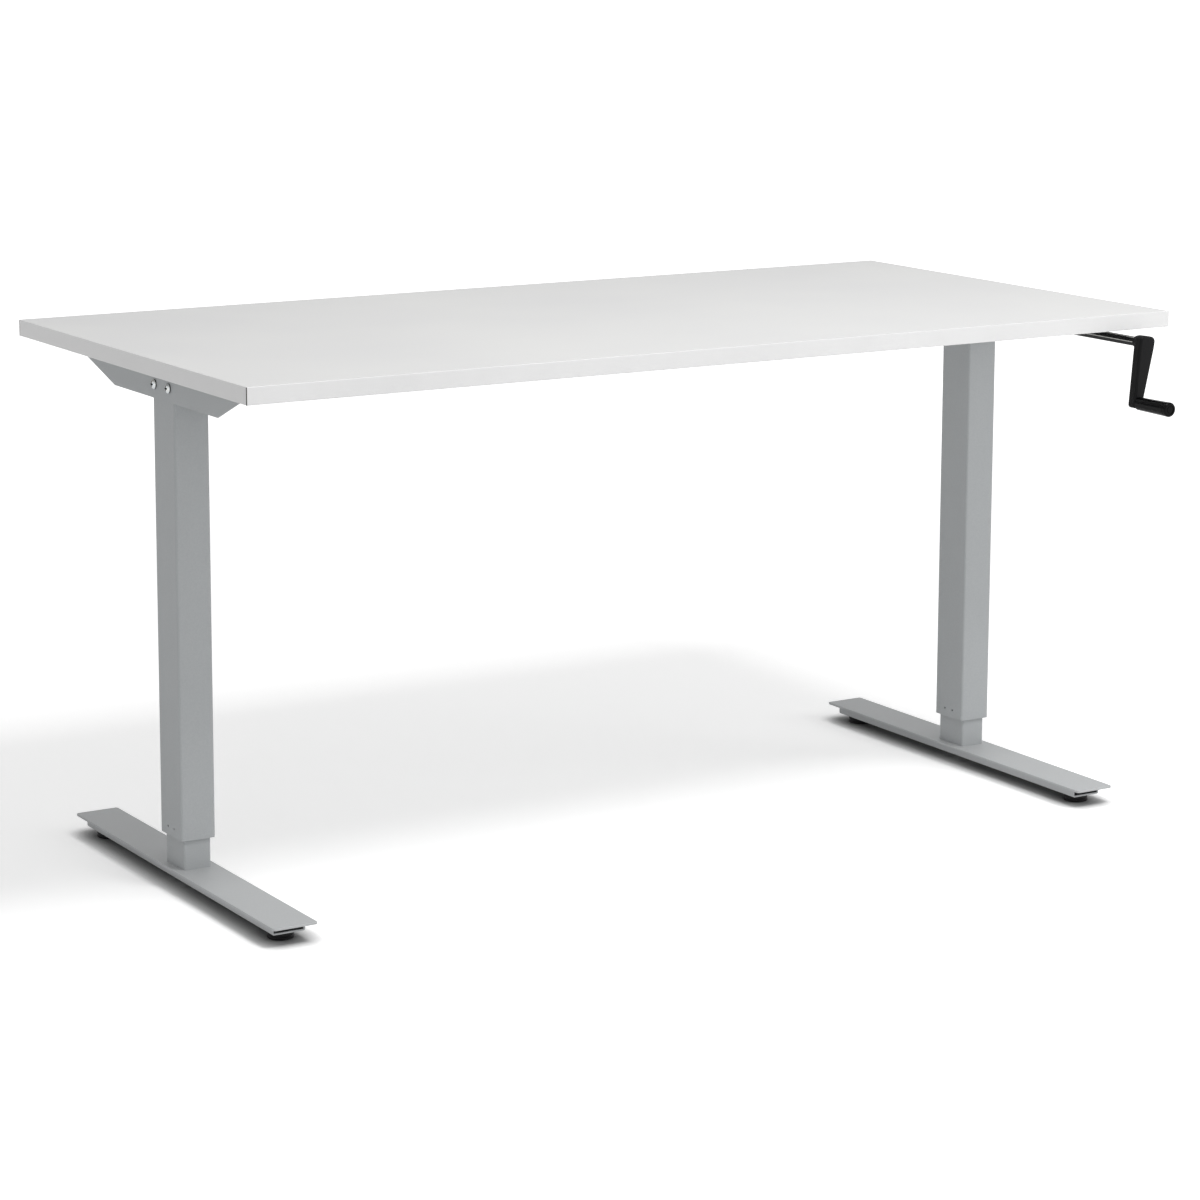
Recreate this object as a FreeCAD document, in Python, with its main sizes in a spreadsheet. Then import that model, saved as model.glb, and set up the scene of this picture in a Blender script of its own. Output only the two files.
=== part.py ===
"""Hand-cranked sit-stand desk: a laminated worktop on two telescopic columns with T-feet.

Frame: +X along the worktop to the right, +Y to the back, +Z up, millimetres. The origin is on
the floor, under the middle of the overall outline, crank included.
"""
import FreeCAD, Part
import math
import os
import Sketcher
from FreeCAD import Placement, Rotation, Vector
from types import SimpleNamespace

doc = FreeCAD.newDocument("sit_stand_desk")
sheet = doc.addObject("Spreadsheet::Sheet", "sizes")

# alias, value in mm (or degrees, or a count), what it is
SIZES = (
    ("top_length", 1400, "worktop, left to right, over its edge bands"),
    ("top_depth", 700, "worktop, front to back, over its edge bands"),
    ("board_thickness", 22, "worktop board"),
    ("band_thickness", 2, "edge band"),
    ("band_radius", 0.8, "rounding of the edge band's long edges"),
    ("leg_inset", 75, "worktop end to column axis"),
    ("sheet_gauge", 2, "steel sheet of the support channels and the cross beam"),
    ("channel_depth", 44, "support channel, from its web down"),
    ("channel_front", 263, "support channel's front end from the column axis"),
    ("channel_rear", 286, "support channel's rear end from the column axis"),
    ("front_bevel", 99, "how far the bevelled front end runs back along the channel"),
    ("rear_bevel", 139, "how far the bevelled rear end runs forward along the channel"),
    ("crank_bevel", 175, "the front bevel on the crank side's channel"),
    ("inner_bevel", 175, "both bevels on the channel walls that face each other"),
    ("channel_gap", 0.2, "column to each side wall of the support channel"),
    ("sheet_bend", 3, "outer radius of the bends in the support channels and the cross beam"),
    ("outer_width", 48, "outer tube, left to right"),
    ("outer_depth", 64, "outer tube, front to back"),
    ("outer_wall", 2, "outer tube wall"),
    ("outer_radius", 3, "outer tube corner, outside"),
    ("outer_length", 612, "outer tube"),
    ("inner_width", 38, "inner tube, left to right"),
    ("inner_depth", 56, "inner tube, front to back"),
    ("inner_wall", 2, "inner tube wall"),
    ("inner_radius", 3, "inner tube corner, outside"),
    ("raised", 36, "how far the desk stands above its lowest position"),
    ("low_gap", 4, "left over each foot plate and under each gearbox at the lowest position"),
    ("guide_gap", 0.1, "running gap of the plastic guides"),
    ("corner_relief", 1.6, "corner rounding of what sits inside a tube"),
    ("lower_guide_length", 60, "guide in the mouth of the outer tube"),
    ("upper_guide_length", 40, "guide round the head of the inner tube"),
    ("peg_radius", 1.5, "snap peg of the lower guide"),
    ("peg_gap", 0.1, "snap peg in its hole"),
    ("peg_spacing", 18, "between the two snap pegs"),
    ("peg_height", 11.5, "snap pegs above the tube's lower end"),
    ("foot_length", 610, "foot plate"),
    ("foot_width", 61, "foot plate"),
    ("foot_plate_thickness", 3, "foot plate"),
    ("foot_corner", 4, "foot plate corner"),
    ("foot_edge_radius", 0.8, "rounding of the foot plate's upper edge"),
    ("foot_shift", 6, "foot plate centre in front of the column axis"),
    ("foot_channel_width", 45, "channel under the foot plate"),
    ("foot_channel_height", 12, "channel under the foot plate"),
    ("foot_channel_gauge", 2, "channel under the foot plate"),
    ("foot_channel_bend", 2.5, "outer bend of that channel"),
    ("foot_channel_setback", 20, "foot plate end to channel end"),
    ("insert_length", 14, "end insert of the foot channel"),
    ("insert_setback", 2, "channel end to the insert's face"),
    ("glide_height", 11, "levelling glide pad"),
    ("glide_radius", 17, "levelling glide pad"),
    ("glide_rounding", 2, "levelling glide pad edges"),
    ("glide_floor", 3, "pad material under the stud"),
    ("glide_inset", 43, "foot plate end to glide axis"),
    ("stud_radius", 4, "levelling stud"),
    ("stud_gap", 0.05, "thread clearance round studs and bolts"),
    ("stud_headroom", 1, "stud end to the underside of the foot plate"),
    ("nut_height", 6, "weld nut for the levelling stud"),
    ("nut_across", 13, "weld nut across its flats"),
    ("base_block_height", 10, "threaded block welded into the foot of the inner tube"),
    ("base_bolt_radius", 4, "column to foot bolt"),
    ("base_bolt_spacing_x", 18, "column to foot bolts"),
    ("base_bolt_spacing_y", 34, "column to foot bolts"),
    ("base_bolt_bite", 9, "thread engaged in the base block"),
    ("base_head_radius", 6.5, "head of that bolt"),
    ("base_head_height", 5, "head of that bolt"),
    ("access_radius", 7.5, "access hole for that bolt in the foot channel"),
    ("housing_height", 38, "gearbox with its cover"),
    ("housing_gap", 0.2, "gearbox to the inside of the outer tube"),
    ("cover_thickness", 2, "gearbox cover"),
    ("cavity_width", 34, "gearbox cavity, left to right"),
    ("cavity_depth", 32, "gearbox cavity, front to back"),
    ("floor_thickness", 8, "gearbox floor under the crown gear"),
    ("shaft_drop", 13, "worktop underside to the shafts' axis"),
    ("pinion_teeth", 12, "bevel pinion"),
    ("crown_teeth", 24, "bevel crown gear"),
    ("gear_module", 1, "bevel gears, at the large end"),
    ("face_width", 4.5, "bevel teeth, measured along the pinion's axis"),
    ("crown_reach", 1.35, "crown tooth blank's depth over its depth at the pitch circle"),
    ("crown_disc", 4, "crown gear blank under its teeth"),
    ("crown_hub_radius", 9, "crown gear hub"),
    ("crown_cap", 1, "crown gear metal over the end of the screw journal"),
    ("crown_float", 0.1, "crown hub over the gearbox floor"),
    ("neck_radius", 4.8, "pinion neck between its teeth and its hub"),
    ("neck_gap", 0.5, "crown gear rim to the pinion hub"),
    ("hub_radius", 7.5, "pinion hub, which runs in the gearbox wall"),
    ("hub_projection", 1, "pinion hub beyond the outer tube"),
    ("running_gap", 0.05, "radial clearance of the running fits"),
    ("hub_hole_gap", 1, "radial clearance of the hub in tube and channel walls"),
    ("socket_depth", 9, "hexagon socket in the pinion hub"),
    ("hex_across", 10, "cross shaft and the crank rod's rear end across their flats"),
    ("socket_gap", 0.1, "hexagon rod in its socket, each side"),
    ("rod_end_gap", 0.5, "hexagon rod end to the socket floor"),
    ("journal_radius", 6, "screw journal in the gearbox floor"),
    ("screw_radius", 8, "lead screw"),
    ("screw_rise", 64, "lower end of the lead screw over the lower end of the outer tube"),
    ("bearing_radius", 12, "thrust bearing"),
    ("bearing_height", 4, "thrust bearing"),
    ("nut_block_height", 25, "lead nut in the head of the inner tube"),
    ("bolt_radius", 3, "column bolt"),
    ("bolt_hole_gap", 0.3, "column bolt in its clearance holes"),
    ("bolt_spacing", 43, "between the two column bolts on each side"),
    ("bolt_drop", 26, "worktop underside to the column bolts"),
    ("bolt_bite", 12, "thread engaged in the gearbox"),
    ("bolt_head_radius", 6.5, "domed head of the column bolt"),
    ("bolt_head_height", 5, "domed head of the column bolt"),
    ("bolt_drive_radius", 2.4, "drive recess in the domed head"),
    ("bolt_drive_depth", 2.5, "drive recess in the domed head"),
    ("beam_width", 28, "cross beam, front to back"),
    ("beam_height", 34, "cross beam"),
    ("beam_drop", 1, "worktop underside to the cross beam"),
    ("flange_width", 60, "end flange of the cross beam, front to back"),
    ("flange_thickness", 3, "end flange of the cross beam"),
    ("top_screw_radius", 2.25, "screw that holds the worktop"),
    ("top_screw_bite", 14, "screw length in the board"),
    ("top_head_radius", 4.5, "pan head of that screw"),
    ("top_head_height", 3, "pan head of that screw"),
    ("top_screw_offset", 14, "screws each side of the column axis"),
    ("top_screw_near", 110, "inner pair of screws, from the column axis"),
    ("top_screw_far", 240, "outer pair of screws, from the column axis"),
    ("bearing_block_reach", 197, "crank bearing block in front of the column axis"),
    ("bearing_block_length", 15, "crank bearing block, front to back"),
    ("bearing_block_height", 20, "crank bearing block"),
    ("crank_reach", 31, "worktop front edge to the back of the crank arm"),
    ("crank_angle", 9, "degrees that the crank stands from straight down"),
    ("crank_hex_across", 12, "crank's hexagon rod across its flats"),
    ("arm_thickness", 15, "crank arm"),
    ("arm_length", 82, "crank arm between its two axes"),
    ("arm_head", 26, "crank arm's width at its upper end"),
    ("arm_crown", 10, "crank arm's top above the rod's axis"),
    ("arm_shoulder", 6, "how far under the rod's axis the crank arm starts to taper"),
    ("arm_tip", 14.5, "crank arm's width at its lower end, and twice its reach under the axle"),
    ("arm_head_corner", 7, "rounding of the crank arm's upper corners"),
    ("arm_tip_corner", 4, "rounding of the crank arm's lower corners"),
    ("arm_rounding", 3.5, "rounding of the crank arm's edges"),
    ("collar_length", 8, "tapered collar behind the crank arm"),
    ("collar_radius", 9, "small end of that collar"),
    ("rod_seat", 10, "hexagon rod end inside the arm"),
    ("grip_length", 64, "grip"),
    ("grip_radius", 10, "grip at its free end"),
    ("grip_neck_radius", 9, "grip next to the arm"),
    ("grip_rounding", 2.5, "rounding of the grip's free end"),
    ("grip_gap", 0.3, "grip to crank arm"),
    ("axle_radius", 4, "grip axle"),
    ("axle_seat", 10, "grip axle inside the arm"),
    ("axle_reach", 52, "grip axle inside the grip"),
)


class Size:
    """A size as an expression over the sheet, with its present value."""

    def __init__(self, text, value):
        self.text = text
        self.value = value

    def _with(self, other, sign, value):
        text = other.text if isinstance(other, Size) else str(other)
        return Size(f"({self.text} {sign} {text})", value)

    def __add__(self, other):
        return self._with(other, "+", self.value + number(other))

    def __sub__(self, other):
        return self._with(other, "-", self.value - number(other))

    def __mul__(self, other):
        return self._with(other, "*", self.value * number(other))

    def __truediv__(self, other):
        return self._with(other, "/", self.value / number(other))

    def __neg__(self):
        return Size(f"(0 - {self.text})", -self.value)


def number(size):
    return size.value if isinstance(size, Size) else size


def polar(radius, degrees):
    """The point at a radius and an angle, as a pair of sizes."""
    turn = math.radians(degrees.value)
    across = Size(f"({radius.text} * cos({degrees.text}))", radius.value * math.cos(turn))
    up = Size(f"({radius.text} * sin({degrees.text}))", radius.value * math.sin(turn))
    return across, up


def load_sizes():
    """Write the table into the sheet and return its rows as Size values by alias."""
    found = {}
    for row, (alias, value, note) in enumerate(SIZES, 1):
        sheet.set(f"A{row}", note)
        sheet.set(f"B{row}", str(value))
        sheet.setAlias(f"B{row}", alias)
        found[alias] = Size(f"sizes.{alias}", value)
    doc.recompute()
    return SimpleNamespace(**found)


s = load_sizes()


# ---- Levels and places that several pieces share

foot_plate_bottom = s.glide_height + s.foot_channel_height
foot_plate_top = foot_plate_bottom + s.foot_plate_thickness
outer_bottom = foot_plate_top + s.low_gap + s.raised
outer_top = outer_bottom + s.outer_length
inner_length = s.outer_length - s.housing_height
inner_top = foot_plate_top + inner_length
underside = outer_top + s.sheet_gauge
shaft_z = underside - s.shaft_drop
bolt_z = underside - s.bolt_drop
housing_bottom = outer_top - s.housing_height
housing_floor_top = housing_bottom + s.floor_thickness
leg_x = s.top_length / 2 - s.leg_inset
crank_overhang = s.crank_reach + s.arm_thickness + s.grip_gap + s.grip_length
desk_y = crank_overhang / 2
front_y = desk_y - s.top_depth / 2
foot_y = desk_y - s.foot_shift
arm_back_y = front_y - s.crank_reach
cavity_x = s.outer_width - s.outer_wall * 2
cavity_y = s.outer_depth - s.outer_wall * 2
channel_inside = s.outer_width + s.channel_gap * 2
channel_outside = channel_inside + s.sheet_gauge * 2
glide_reach = s.foot_length / 2 - s.glide_inset
hex_circumradius = s.hex_across / (2 * math.cos(math.pi / 6))
crank_circumradius = s.crank_hex_across / (2 * math.cos(math.pi / 6))
socket_circumradius = hex_circumradius + s.socket_gap / math.cos(math.pi / 6)
pinion_pitch_radius = s.pinion_teeth * s.gear_module / 2
crown_pitch_radius = s.crown_teeth * s.gear_module / 2
crown_rim_radius = crown_pitch_radius + s.gear_module
crown_back = pinion_pitch_radius * s.crown_reach
screw_bottom = outer_bottom + s.screw_rise
SIDES = (("left", -1), ("right", 1))
ENDS = (("front", -1), ("rear", 1))


# ---- Helpers for the document

def bind(thing, prop, size):
    """Give a property its expression, or its plain value."""
    if isinstance(size, Size):
        thing.setExpression(prop, size.text)
    elif "." not in prop:
        setattr(thing, prop, size)


def place(thing, x=0, y=0, z=0, axis=None, angle=0):
    """Place an object, turned about one axis, with its position bound to the sheet."""
    turn = Rotation(axis, number(angle)) if axis else Rotation()
    thing.Placement = Placement(Vector(number(x), number(y), number(z)), turn)
    for letter, size in (("x", x), ("y", y), ("z", z)):
        bind(thing, f"Placement.Base.{letter}", size)
    if isinstance(angle, Size):
        bind(thing, "Placement.Rotation.Angle", angle)
    return thing


def new_body(label):
    body = doc.addObject("PartDesign::Body", label)
    body.Label = label
    return body


def new_sketch(body, role, offset=0):
    """A sketch on one of the body's own origin planes, raised by an offset."""
    sketch = body.newObject("Sketcher::SketchObject", f"{body.Label}_sketch")
    plane = next(f for f in body.Origin.OriginFeatures if f.Role == role)
    sketch.AttachmentSupport = [(plane, "")]
    sketch.MapMode = "FlatFace"
    sketch.AttachmentOffset.Base.z = number(offset)
    bind(sketch, "AttachmentOffset.Base.z", offset)
    return sketch


def dimension(sketch, kind, *rest):
    """Add a dimensional constraint whose value is a Size."""
    size = rest[-1]
    index = sketch.addConstraint(Sketcher.Constraint(kind, *rest[:-1], number(size)))
    if isinstance(size, Size):
        sketch.setExpression(f"Constraints[{index}]", size.text)


def polygon(sketch, points):
    """A closed outline through points given as pairs of sizes from the sketch's origin."""
    corners = [Vector(number(a), number(b), 0) for a, b in points]
    first = sketch.GeometryCount
    count = len(corners)
    for i in range(count):
        sketch.addGeometry(Part.LineSegment(corners[i], corners[(i + 1) % count]), False)
    for i in range(count):
        following = first + (i + 1) % count
        sketch.addConstraint(Sketcher.Constraint("Coincident", first + i, 2, following, 1))
    for i, (a, b) in enumerate(points):
        for kind, size in (("DistanceX", a), ("DistanceY", b)):
            if isinstance(size, Size) or size:
                dimension(sketch, kind, -1, 1, first + i, 1, size)
            else:
                on_axis = -2 if kind == "DistanceX" else -1
                sketch.addConstraint(
                    Sketcher.Constraint("PointOnObject", first + i, 1, on_axis))


def rectangle(sketch, width, height, x=0, y=0):
    """A rectangle centred on (x, y)."""
    half_w, half_h = width / 2, height / 2
    x = x if isinstance(x, Size) else Size(str(x), x)
    y = y if isinstance(y, Size) else Size(str(y), y)
    polygon(sketch, ((x - half_w, y - half_h), (x + half_w, y - half_h),
                     (x + half_w, y + half_h), (x - half_w, y + half_h)))


def circle(sketch, radius, x=0, y=0):
    centre = Vector(number(x), number(y), 0)
    index = sketch.addGeometry(Part.Circle(centre, Vector(0, 0, 1), number(radius)), False)
    dimension(sketch, "Radius", index, radius)
    for kind, size in (("DistanceX", x), ("DistanceY", y)):
        if isinstance(size, Size):
            dimension(sketch, kind, -1, 1, index, 3, size)
        else:
            on_axis = -2 if kind == "DistanceX" else -1
            sketch.addConstraint(Sketcher.Constraint("PointOnObject", index, 3, on_axis))


def pad(body, sketch, length, both_ways=False, backwards=False):
    feature = body.newObject("PartDesign::Pad", f"{body.Label}_pad")
    feature.Profile = sketch
    bind(feature, "Length", length)
    feature.SideType = "Symmetric" if both_ways else "One side"
    feature.Reversed = backwards
    doc.recompute()
    return feature


def pocket(body, sketch, length=None, both_ways=False, backwards=False):
    """Cut a sketch to a length, or right through; it must take material away."""
    before = body.Shape.Volume
    feature = body.newObject("PartDesign::Pocket", f"{body.Label}_pocket")
    feature.Profile = sketch
    if length is None:
        feature.Type = "ThroughAll"
    else:
        bind(feature, "Length", length)
    feature.SideType = "Symmetric" if both_ways else "One side"
    feature.Reversed = backwards
    doc.recompute()
    if not body.Shape.Volume < before:
        raise RuntimeError(f"{body.Label}: a pocket cuts nothing")
    return feature


def straight_edges(shape, axis):
    """Names of the straight edges along an axis, with each edge."""
    found = []
    for i, edge in enumerate(shape.Edges, 1):
        if edge.Curve.TypeId != "Part::GeomLine":
            continue
        along = edge.lastVertex().Point - edge.firstVertex().Point
        if abs(abs(along.dot(axis)) - along.Length) < 1e-6 * along.Length:
            found.append((f"Edge{i}", edge))
    return found


def round_edges(body, radius, chosen):
    """Fillet the edges whose names are given."""
    base = body.Tip
    feature = body.newObject("PartDesign::Fillet", f"{body.Label}_fillet")
    feature.Base = (base, chosen)
    bind(feature, "Radius", radius)
    doc.recompute()
    return feature


def round_upright_edges(body, radius):
    names = [name for name, edge in straight_edges(body.Shape, Vector(0, 0, 1))]
    round_edges(body, radius, names)


def edges_at(shape, letter, level):
    """Names of the edges that lie wholly at one level of x, y or z."""
    low, high = letter.upper() + "Min", letter.upper() + "Max"
    return [f"Edge{i}" for i, edge in enumerate(shape.Edges, 1)
            if abs(getattr(edge.BoundBox, low) - level) < 1e-4
            and abs(getattr(edge.BoundBox, high) - level) < 1e-4]


def box(label, width, depth, height, x, y, z):
    """A plain block centred on x and y that stands on z."""
    block = doc.addObject("Part::Box", label)
    block.Label = label
    bind(block, "Length", width)
    bind(block, "Width", depth)
    bind(block, "Height", height)
    return place(block, x - width / 2, y - depth / 2, z)


def cylinder(name, radius, height, x=0, y=0, z=0, axis=None, angle=0):
    rod = doc.addObject("Part::Cylinder", name)
    bind(rod, "Radius", radius)
    bind(rod, "Height", height)
    return place(rod, x, y, z, axis, angle)


def hexagon(name, circumradius, height, x=0, y=0, z=0, axis=None, angle=0):
    rod = doc.addObject("Part::Prism", name)
    rod.Polygon = 6
    bind(rod, "Circumradius", circumradius)
    bind(rod, "Height", height)
    return place(rod, x, y, z, axis, angle)


def fuse(label, parts):
    joined = doc.addObject("Part::MultiFuse", label)
    joined.Label = label
    joined.Shapes = parts
    return joined


def cut(label, base, tool):
    result = doc.addObject("Part::Cut", label)
    result.Label = label
    result.Base = base
    result.Tool = tool
    return result


def group(label, parts):
    """Identical fasteners as one node of separate solids."""
    bundle = doc.addObject("Part::Compound", label)
    bundle.Label = label
    bundle.Links = parts
    return bundle


nodes = []


def keep(thing):
    """Mark a finished sub-part for export under its label."""
    nodes.append(thing)
    return thing


# ---- Worktop: a laminated board with four glued edge bands

def screw_places():
    """Where the worktop screws stand, from the desk's middle: x and y pairs."""
    found = []
    for _, side in SIDES:
        for offset in (-1, 1):
            for reach in (s.top_screw_near, s.top_screw_far):
                for end in (-1, 1):
                    found.append((leg_x * side + s.top_screw_offset * offset, reach * end))
    return found


def make_board():
    body = new_body("worktop_board")
    sketch = new_sketch(body, "XY_Plane")
    rectangle(sketch, s.top_length - s.band_thickness * 2, s.top_depth - s.band_thickness * 2)
    pad(body, sketch, s.board_thickness)
    holes = new_sketch(body, "XY_Plane")
    for x, y in screw_places():
        circle(holes, s.top_screw_radius + s.stud_gap, x, y)
    pocket(body, holes, s.top_screw_bite, backwards=True)
    keep(place(body, 0, desk_y, underside))


def make_band(label, length, x, y, along_x):
    """A plastic edge band, rounded on the two long edges that a hand meets."""
    body = new_body(label)
    sketch = new_sketch(body, "XY_Plane")
    if along_x:
        rectangle(sketch, length, s.band_thickness)
    else:
        rectangle(sketch, s.band_thickness, length)
    pad(body, sketch, s.board_thickness)
    axis = Vector(1, 0, 0) if along_x else Vector(0, 1, 0)
    outward = Vector(0, number(y - desk_y), 0) if along_x else Vector(number(x), 0, 0)
    names = [name for name, edge in straight_edges(body.Shape, axis)
             if edge.CenterOfMass.dot(outward) > 0]
    round_edges(body, s.band_radius, names)
    keep(place(body, x, y, underside))


def make_bands():
    for end, side in ENDS:
        y = desk_y + (s.top_depth - s.band_thickness) / 2 * side
        make_band(f"edge_band_{end}", s.top_length, 0, y, True)
    for end, side in SIDES:
        x = (s.top_length - s.band_thickness) / 2 * side
        make_band(f"edge_band_{end}", s.top_depth - s.band_thickness * 2, x, desk_y, False)


def make_top_screws():
    screws = []
    for i, (x, y) in enumerate(screw_places(), 1):
        shank = cylinder(f"top_screw_shank_{i}", s.top_screw_radius,
                         s.sheet_gauge + s.top_screw_bite, x, desk_y + y, outer_top)
        head = cylinder(f"top_screw_head_{i}", s.top_head_radius, s.top_head_height,
                        x, desk_y + y, outer_top - s.top_head_height)
        screws.append(fuse(f"top_screw_{i}", [shank, head]))
    keep(group("worktop_screws", screws))


# ---- Support channels: folded steel under the worktop, open downwards over each column

def make_support_channel(label, side, front_bevel):
    body = new_body(label)
    front, rear = -s.channel_front, s.channel_rear
    profile = new_sketch(body, "YZ_Plane")
    polygon(profile, ((front, 0), (front, -s.sheet_gauge),
                      (front + front_bevel, -s.channel_depth),
                      (rear - s.rear_bevel, -s.channel_depth), (rear, -s.sheet_gauge), (rear, 0)))
    pad(body, profile, channel_outside, both_ways=True)
    long_edges = straight_edges(body.Shape, Vector(0, 1, 0))
    round_edges(body, s.sheet_bend, [name for name, edge in long_edges
                                     if edge.CenterOfMass.z > -1e-6])
    inside = new_sketch(body, "XZ_Plane")
    depth = s.channel_depth - s.sheet_gauge
    rectangle(inside, channel_inside, depth, 0, -s.sheet_gauge - depth / 2)
    pocket(body, inside, s.channel_rear * 2, both_ways=True)
    inner_ends = new_sketch(body, "YZ_Plane")
    polygon(inner_ends, ((front, -s.sheet_gauge), (front + s.inner_bevel, -s.channel_depth),
                         (front, -s.channel_depth)))
    polygon(inner_ends, ((rear, -s.sheet_gauge), (rear, -s.channel_depth),
                         (rear - s.inner_bevel, -s.channel_depth)))
    pocket(body, inner_ends, channel_outside, backwards=side < 0)
    bolt_holes = new_sketch(body, "YZ_Plane")
    for end in (-1, 1):
        circle(bolt_holes, s.bolt_radius + s.bolt_hole_gap, s.bolt_spacing / 2 * end,
               -s.bolt_drop)
    pocket(body, bolt_holes, channel_outside, both_ways=True)
    shaft_hole = new_sketch(body, "YZ_Plane")
    circle(shaft_hole, s.hub_radius + s.hub_hole_gap, 0, -s.shaft_drop)
    pocket(body, shaft_hole, channel_outside, backwards=side < 0)
    screw_holes = new_sketch(body, "XY_Plane")
    for offset in (-1, 1):
        for reach in (s.top_screw_near, s.top_screw_far):
            for end in (-1, 1):
                circle(screw_holes, s.top_screw_radius + s.bolt_hole_gap,
                       s.top_screw_offset * offset, reach * end)
    pocket(body, screw_holes, s.sheet_gauge)
    keep(place(body, leg_x * side, desk_y, underside))


# ---- Columns: an outer tube under the worktop slides over an inner tube on the foot

def make_tube(label, width, depth, wall, radius, length):
    """A square-cut rectangular tube that stands on its own origin."""
    body = new_body(label)
    outside = new_sketch(body, "XY_Plane")
    rectangle(outside, width, depth)
    pad(body, outside, length)
    round_upright_edges(body, radius)
    inside = new_sketch(body, "XY_Plane")
    rectangle(inside, width - wall * 2, depth - wall * 2)
    pocket(body, inside, length, backwards=True)
    wall_box = (number(width) / 2 - number(wall), number(depth) / 2 - number(wall))
    names = [name for name, edge in straight_edges(body.Shape, Vector(0, 0, 1))
             if abs(abs(edge.CenterOfMass.x) - wall_box[0]) < 1e-4
             and abs(abs(edge.CenterOfMass.y) - wall_box[1]) < 1e-4]
    round_edges(body, radius - wall, names)
    return body


def make_outer_tube(name, side):
    body = make_tube(f"outer_tube_{name}", s.outer_width, s.outer_depth, s.outer_wall,
                     s.outer_radius, s.outer_length)
    sideways = new_sketch(body, "YZ_Plane")
    for end in (-1, 1):
        circle(sideways, s.bolt_radius + s.bolt_hole_gap, s.bolt_spacing / 2 * end,
               s.outer_length + s.sheet_gauge - s.bolt_drop)
        circle(sideways, s.peg_radius + s.peg_gap, s.peg_spacing / 2 * end, s.peg_height)
    pocket(body, sideways, s.outer_width, both_ways=True)
    shaft_level = s.outer_length + s.sheet_gauge - s.shaft_drop
    inward = new_sketch(body, "YZ_Plane")
    circle(inward, s.hub_radius + s.hub_hole_gap, 0, shaft_level)
    pocket(body, inward, s.outer_width, backwards=side < 0)
    if side > 0:
        forward = new_sketch(body, "XZ_Plane")
        circle(forward, s.hub_radius + s.hub_hole_gap, 0, shaft_level)
        pocket(body, forward, s.outer_depth, backwards=True)
    keep(place(body, leg_x * side, desk_y, outer_bottom))


def make_inner_tube(name, side):
    body = make_tube(f"inner_tube_{name}", s.inner_width, s.inner_depth, s.inner_wall,
                     s.inner_radius, inner_length)
    keep(place(body, leg_x * side, desk_y, foot_plate_top))


def make_sleeve(body, width, depth, hole_width, hole_depth, length):
    """A rectangular plastic sleeve with rounded outer corners."""
    outside = new_sketch(body, "XY_Plane")
    rectangle(outside, width, depth)
    pad(body, outside, length)
    round_upright_edges(body, s.corner_relief)
    inside = new_sketch(body, "XY_Plane")
    rectangle(inside, hole_width, hole_depth)
    pocket(body, inside, length, backwards=True)


def make_lower_guide(name, side):
    """The liner in the mouth of the outer tube, held by two pegs on each side."""
    body = new_body(f"lower_guide_{name}")
    make_sleeve(body, cavity_x, cavity_y, s.inner_width + s.guide_gap * 2,
                s.inner_depth + s.guide_gap * 2, s.lower_guide_length)
    for face in (-1, 1):
        pegs = new_sketch(body, "YZ_Plane", cavity_x / 2 * face)
        for end in (-1, 1):
            circle(pegs, s.peg_radius, s.peg_spacing / 2 * end, s.peg_height)
        pad(body, pegs, s.outer_wall / 2, backwards=face < 0)
    keep(place(body, leg_x * side, desk_y, outer_bottom))


def make_upper_guide(name, side):
    """The sleeve round the head of the inner tube."""
    body = new_body(f"upper_guide_{name}")
    make_sleeve(body, cavity_x - s.guide_gap * 2, cavity_y - s.guide_gap * 2,
                s.inner_width, s.inner_depth, s.upper_guide_length)
    keep(place(body, leg_x * side, desk_y, inner_top - s.upper_guide_length))


def make_lead_nut(name, side):
    """The plastic nut block in the head of the inner tube."""
    body = new_body(f"lead_nut_{name}")
    outside = new_sketch(body, "XY_Plane")
    rectangle(outside, s.inner_width - s.inner_wall * 2, s.inner_depth - s.inner_wall * 2)
    pad(body, outside, s.nut_block_height)
    round_upright_edges(body, s.corner_relief)
    bore = new_sketch(body, "XY_Plane")
    circle(bore, s.screw_radius + s.running_gap)
    pocket(body, bore, s.nut_block_height, backwards=True)
    keep(place(body, leg_x * side, desk_y, inner_top - s.nut_block_height))


# ---- Feet: a flat plate on a shallow channel, with end inserts and four levelling glides

def base_bolt_places():
    return [(s.base_bolt_spacing_x / 2 * a, s.base_bolt_spacing_y / 2 * b)
            for a in (-1, 1) for b in (-1, 1)]


def make_base_block(name, side):
    """The threaded block welded into the lower end of the inner tube."""
    body = new_body(f"base_block_{name}")
    outside = new_sketch(body, "XY_Plane")
    rectangle(outside, s.inner_width - s.inner_wall * 2, s.inner_depth - s.inner_wall * 2)
    pad(body, outside, s.base_block_height)
    round_upright_edges(body, s.corner_relief)
    holes = new_sketch(body, "XY_Plane")
    for x, y in base_bolt_places():
        circle(holes, s.base_bolt_radius + s.stud_gap, x, y)
    pocket(body, holes, s.base_block_height, backwards=True)
    keep(place(body, leg_x * side, desk_y, foot_plate_top))


def make_foot_plate(name, side):
    body = new_body(f"foot_plate_{name}")
    outline = new_sketch(body, "XY_Plane")
    rectangle(outline, s.foot_width, s.foot_length)
    pad(body, outline, s.foot_plate_thickness)
    round_upright_edges(body, s.foot_corner)
    round_edges(body, s.foot_edge_radius,
                edges_at(body.Shape, "z", s.foot_plate_thickness.value))
    holes = new_sketch(body, "XY_Plane")
    for x, y in base_bolt_places():
        circle(holes, s.base_bolt_radius + s.bolt_hole_gap, x, y + s.foot_shift)
    pocket(body, holes, s.foot_plate_thickness, backwards=True)
    keep(place(body, leg_x * side, foot_y, foot_plate_bottom))


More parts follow.
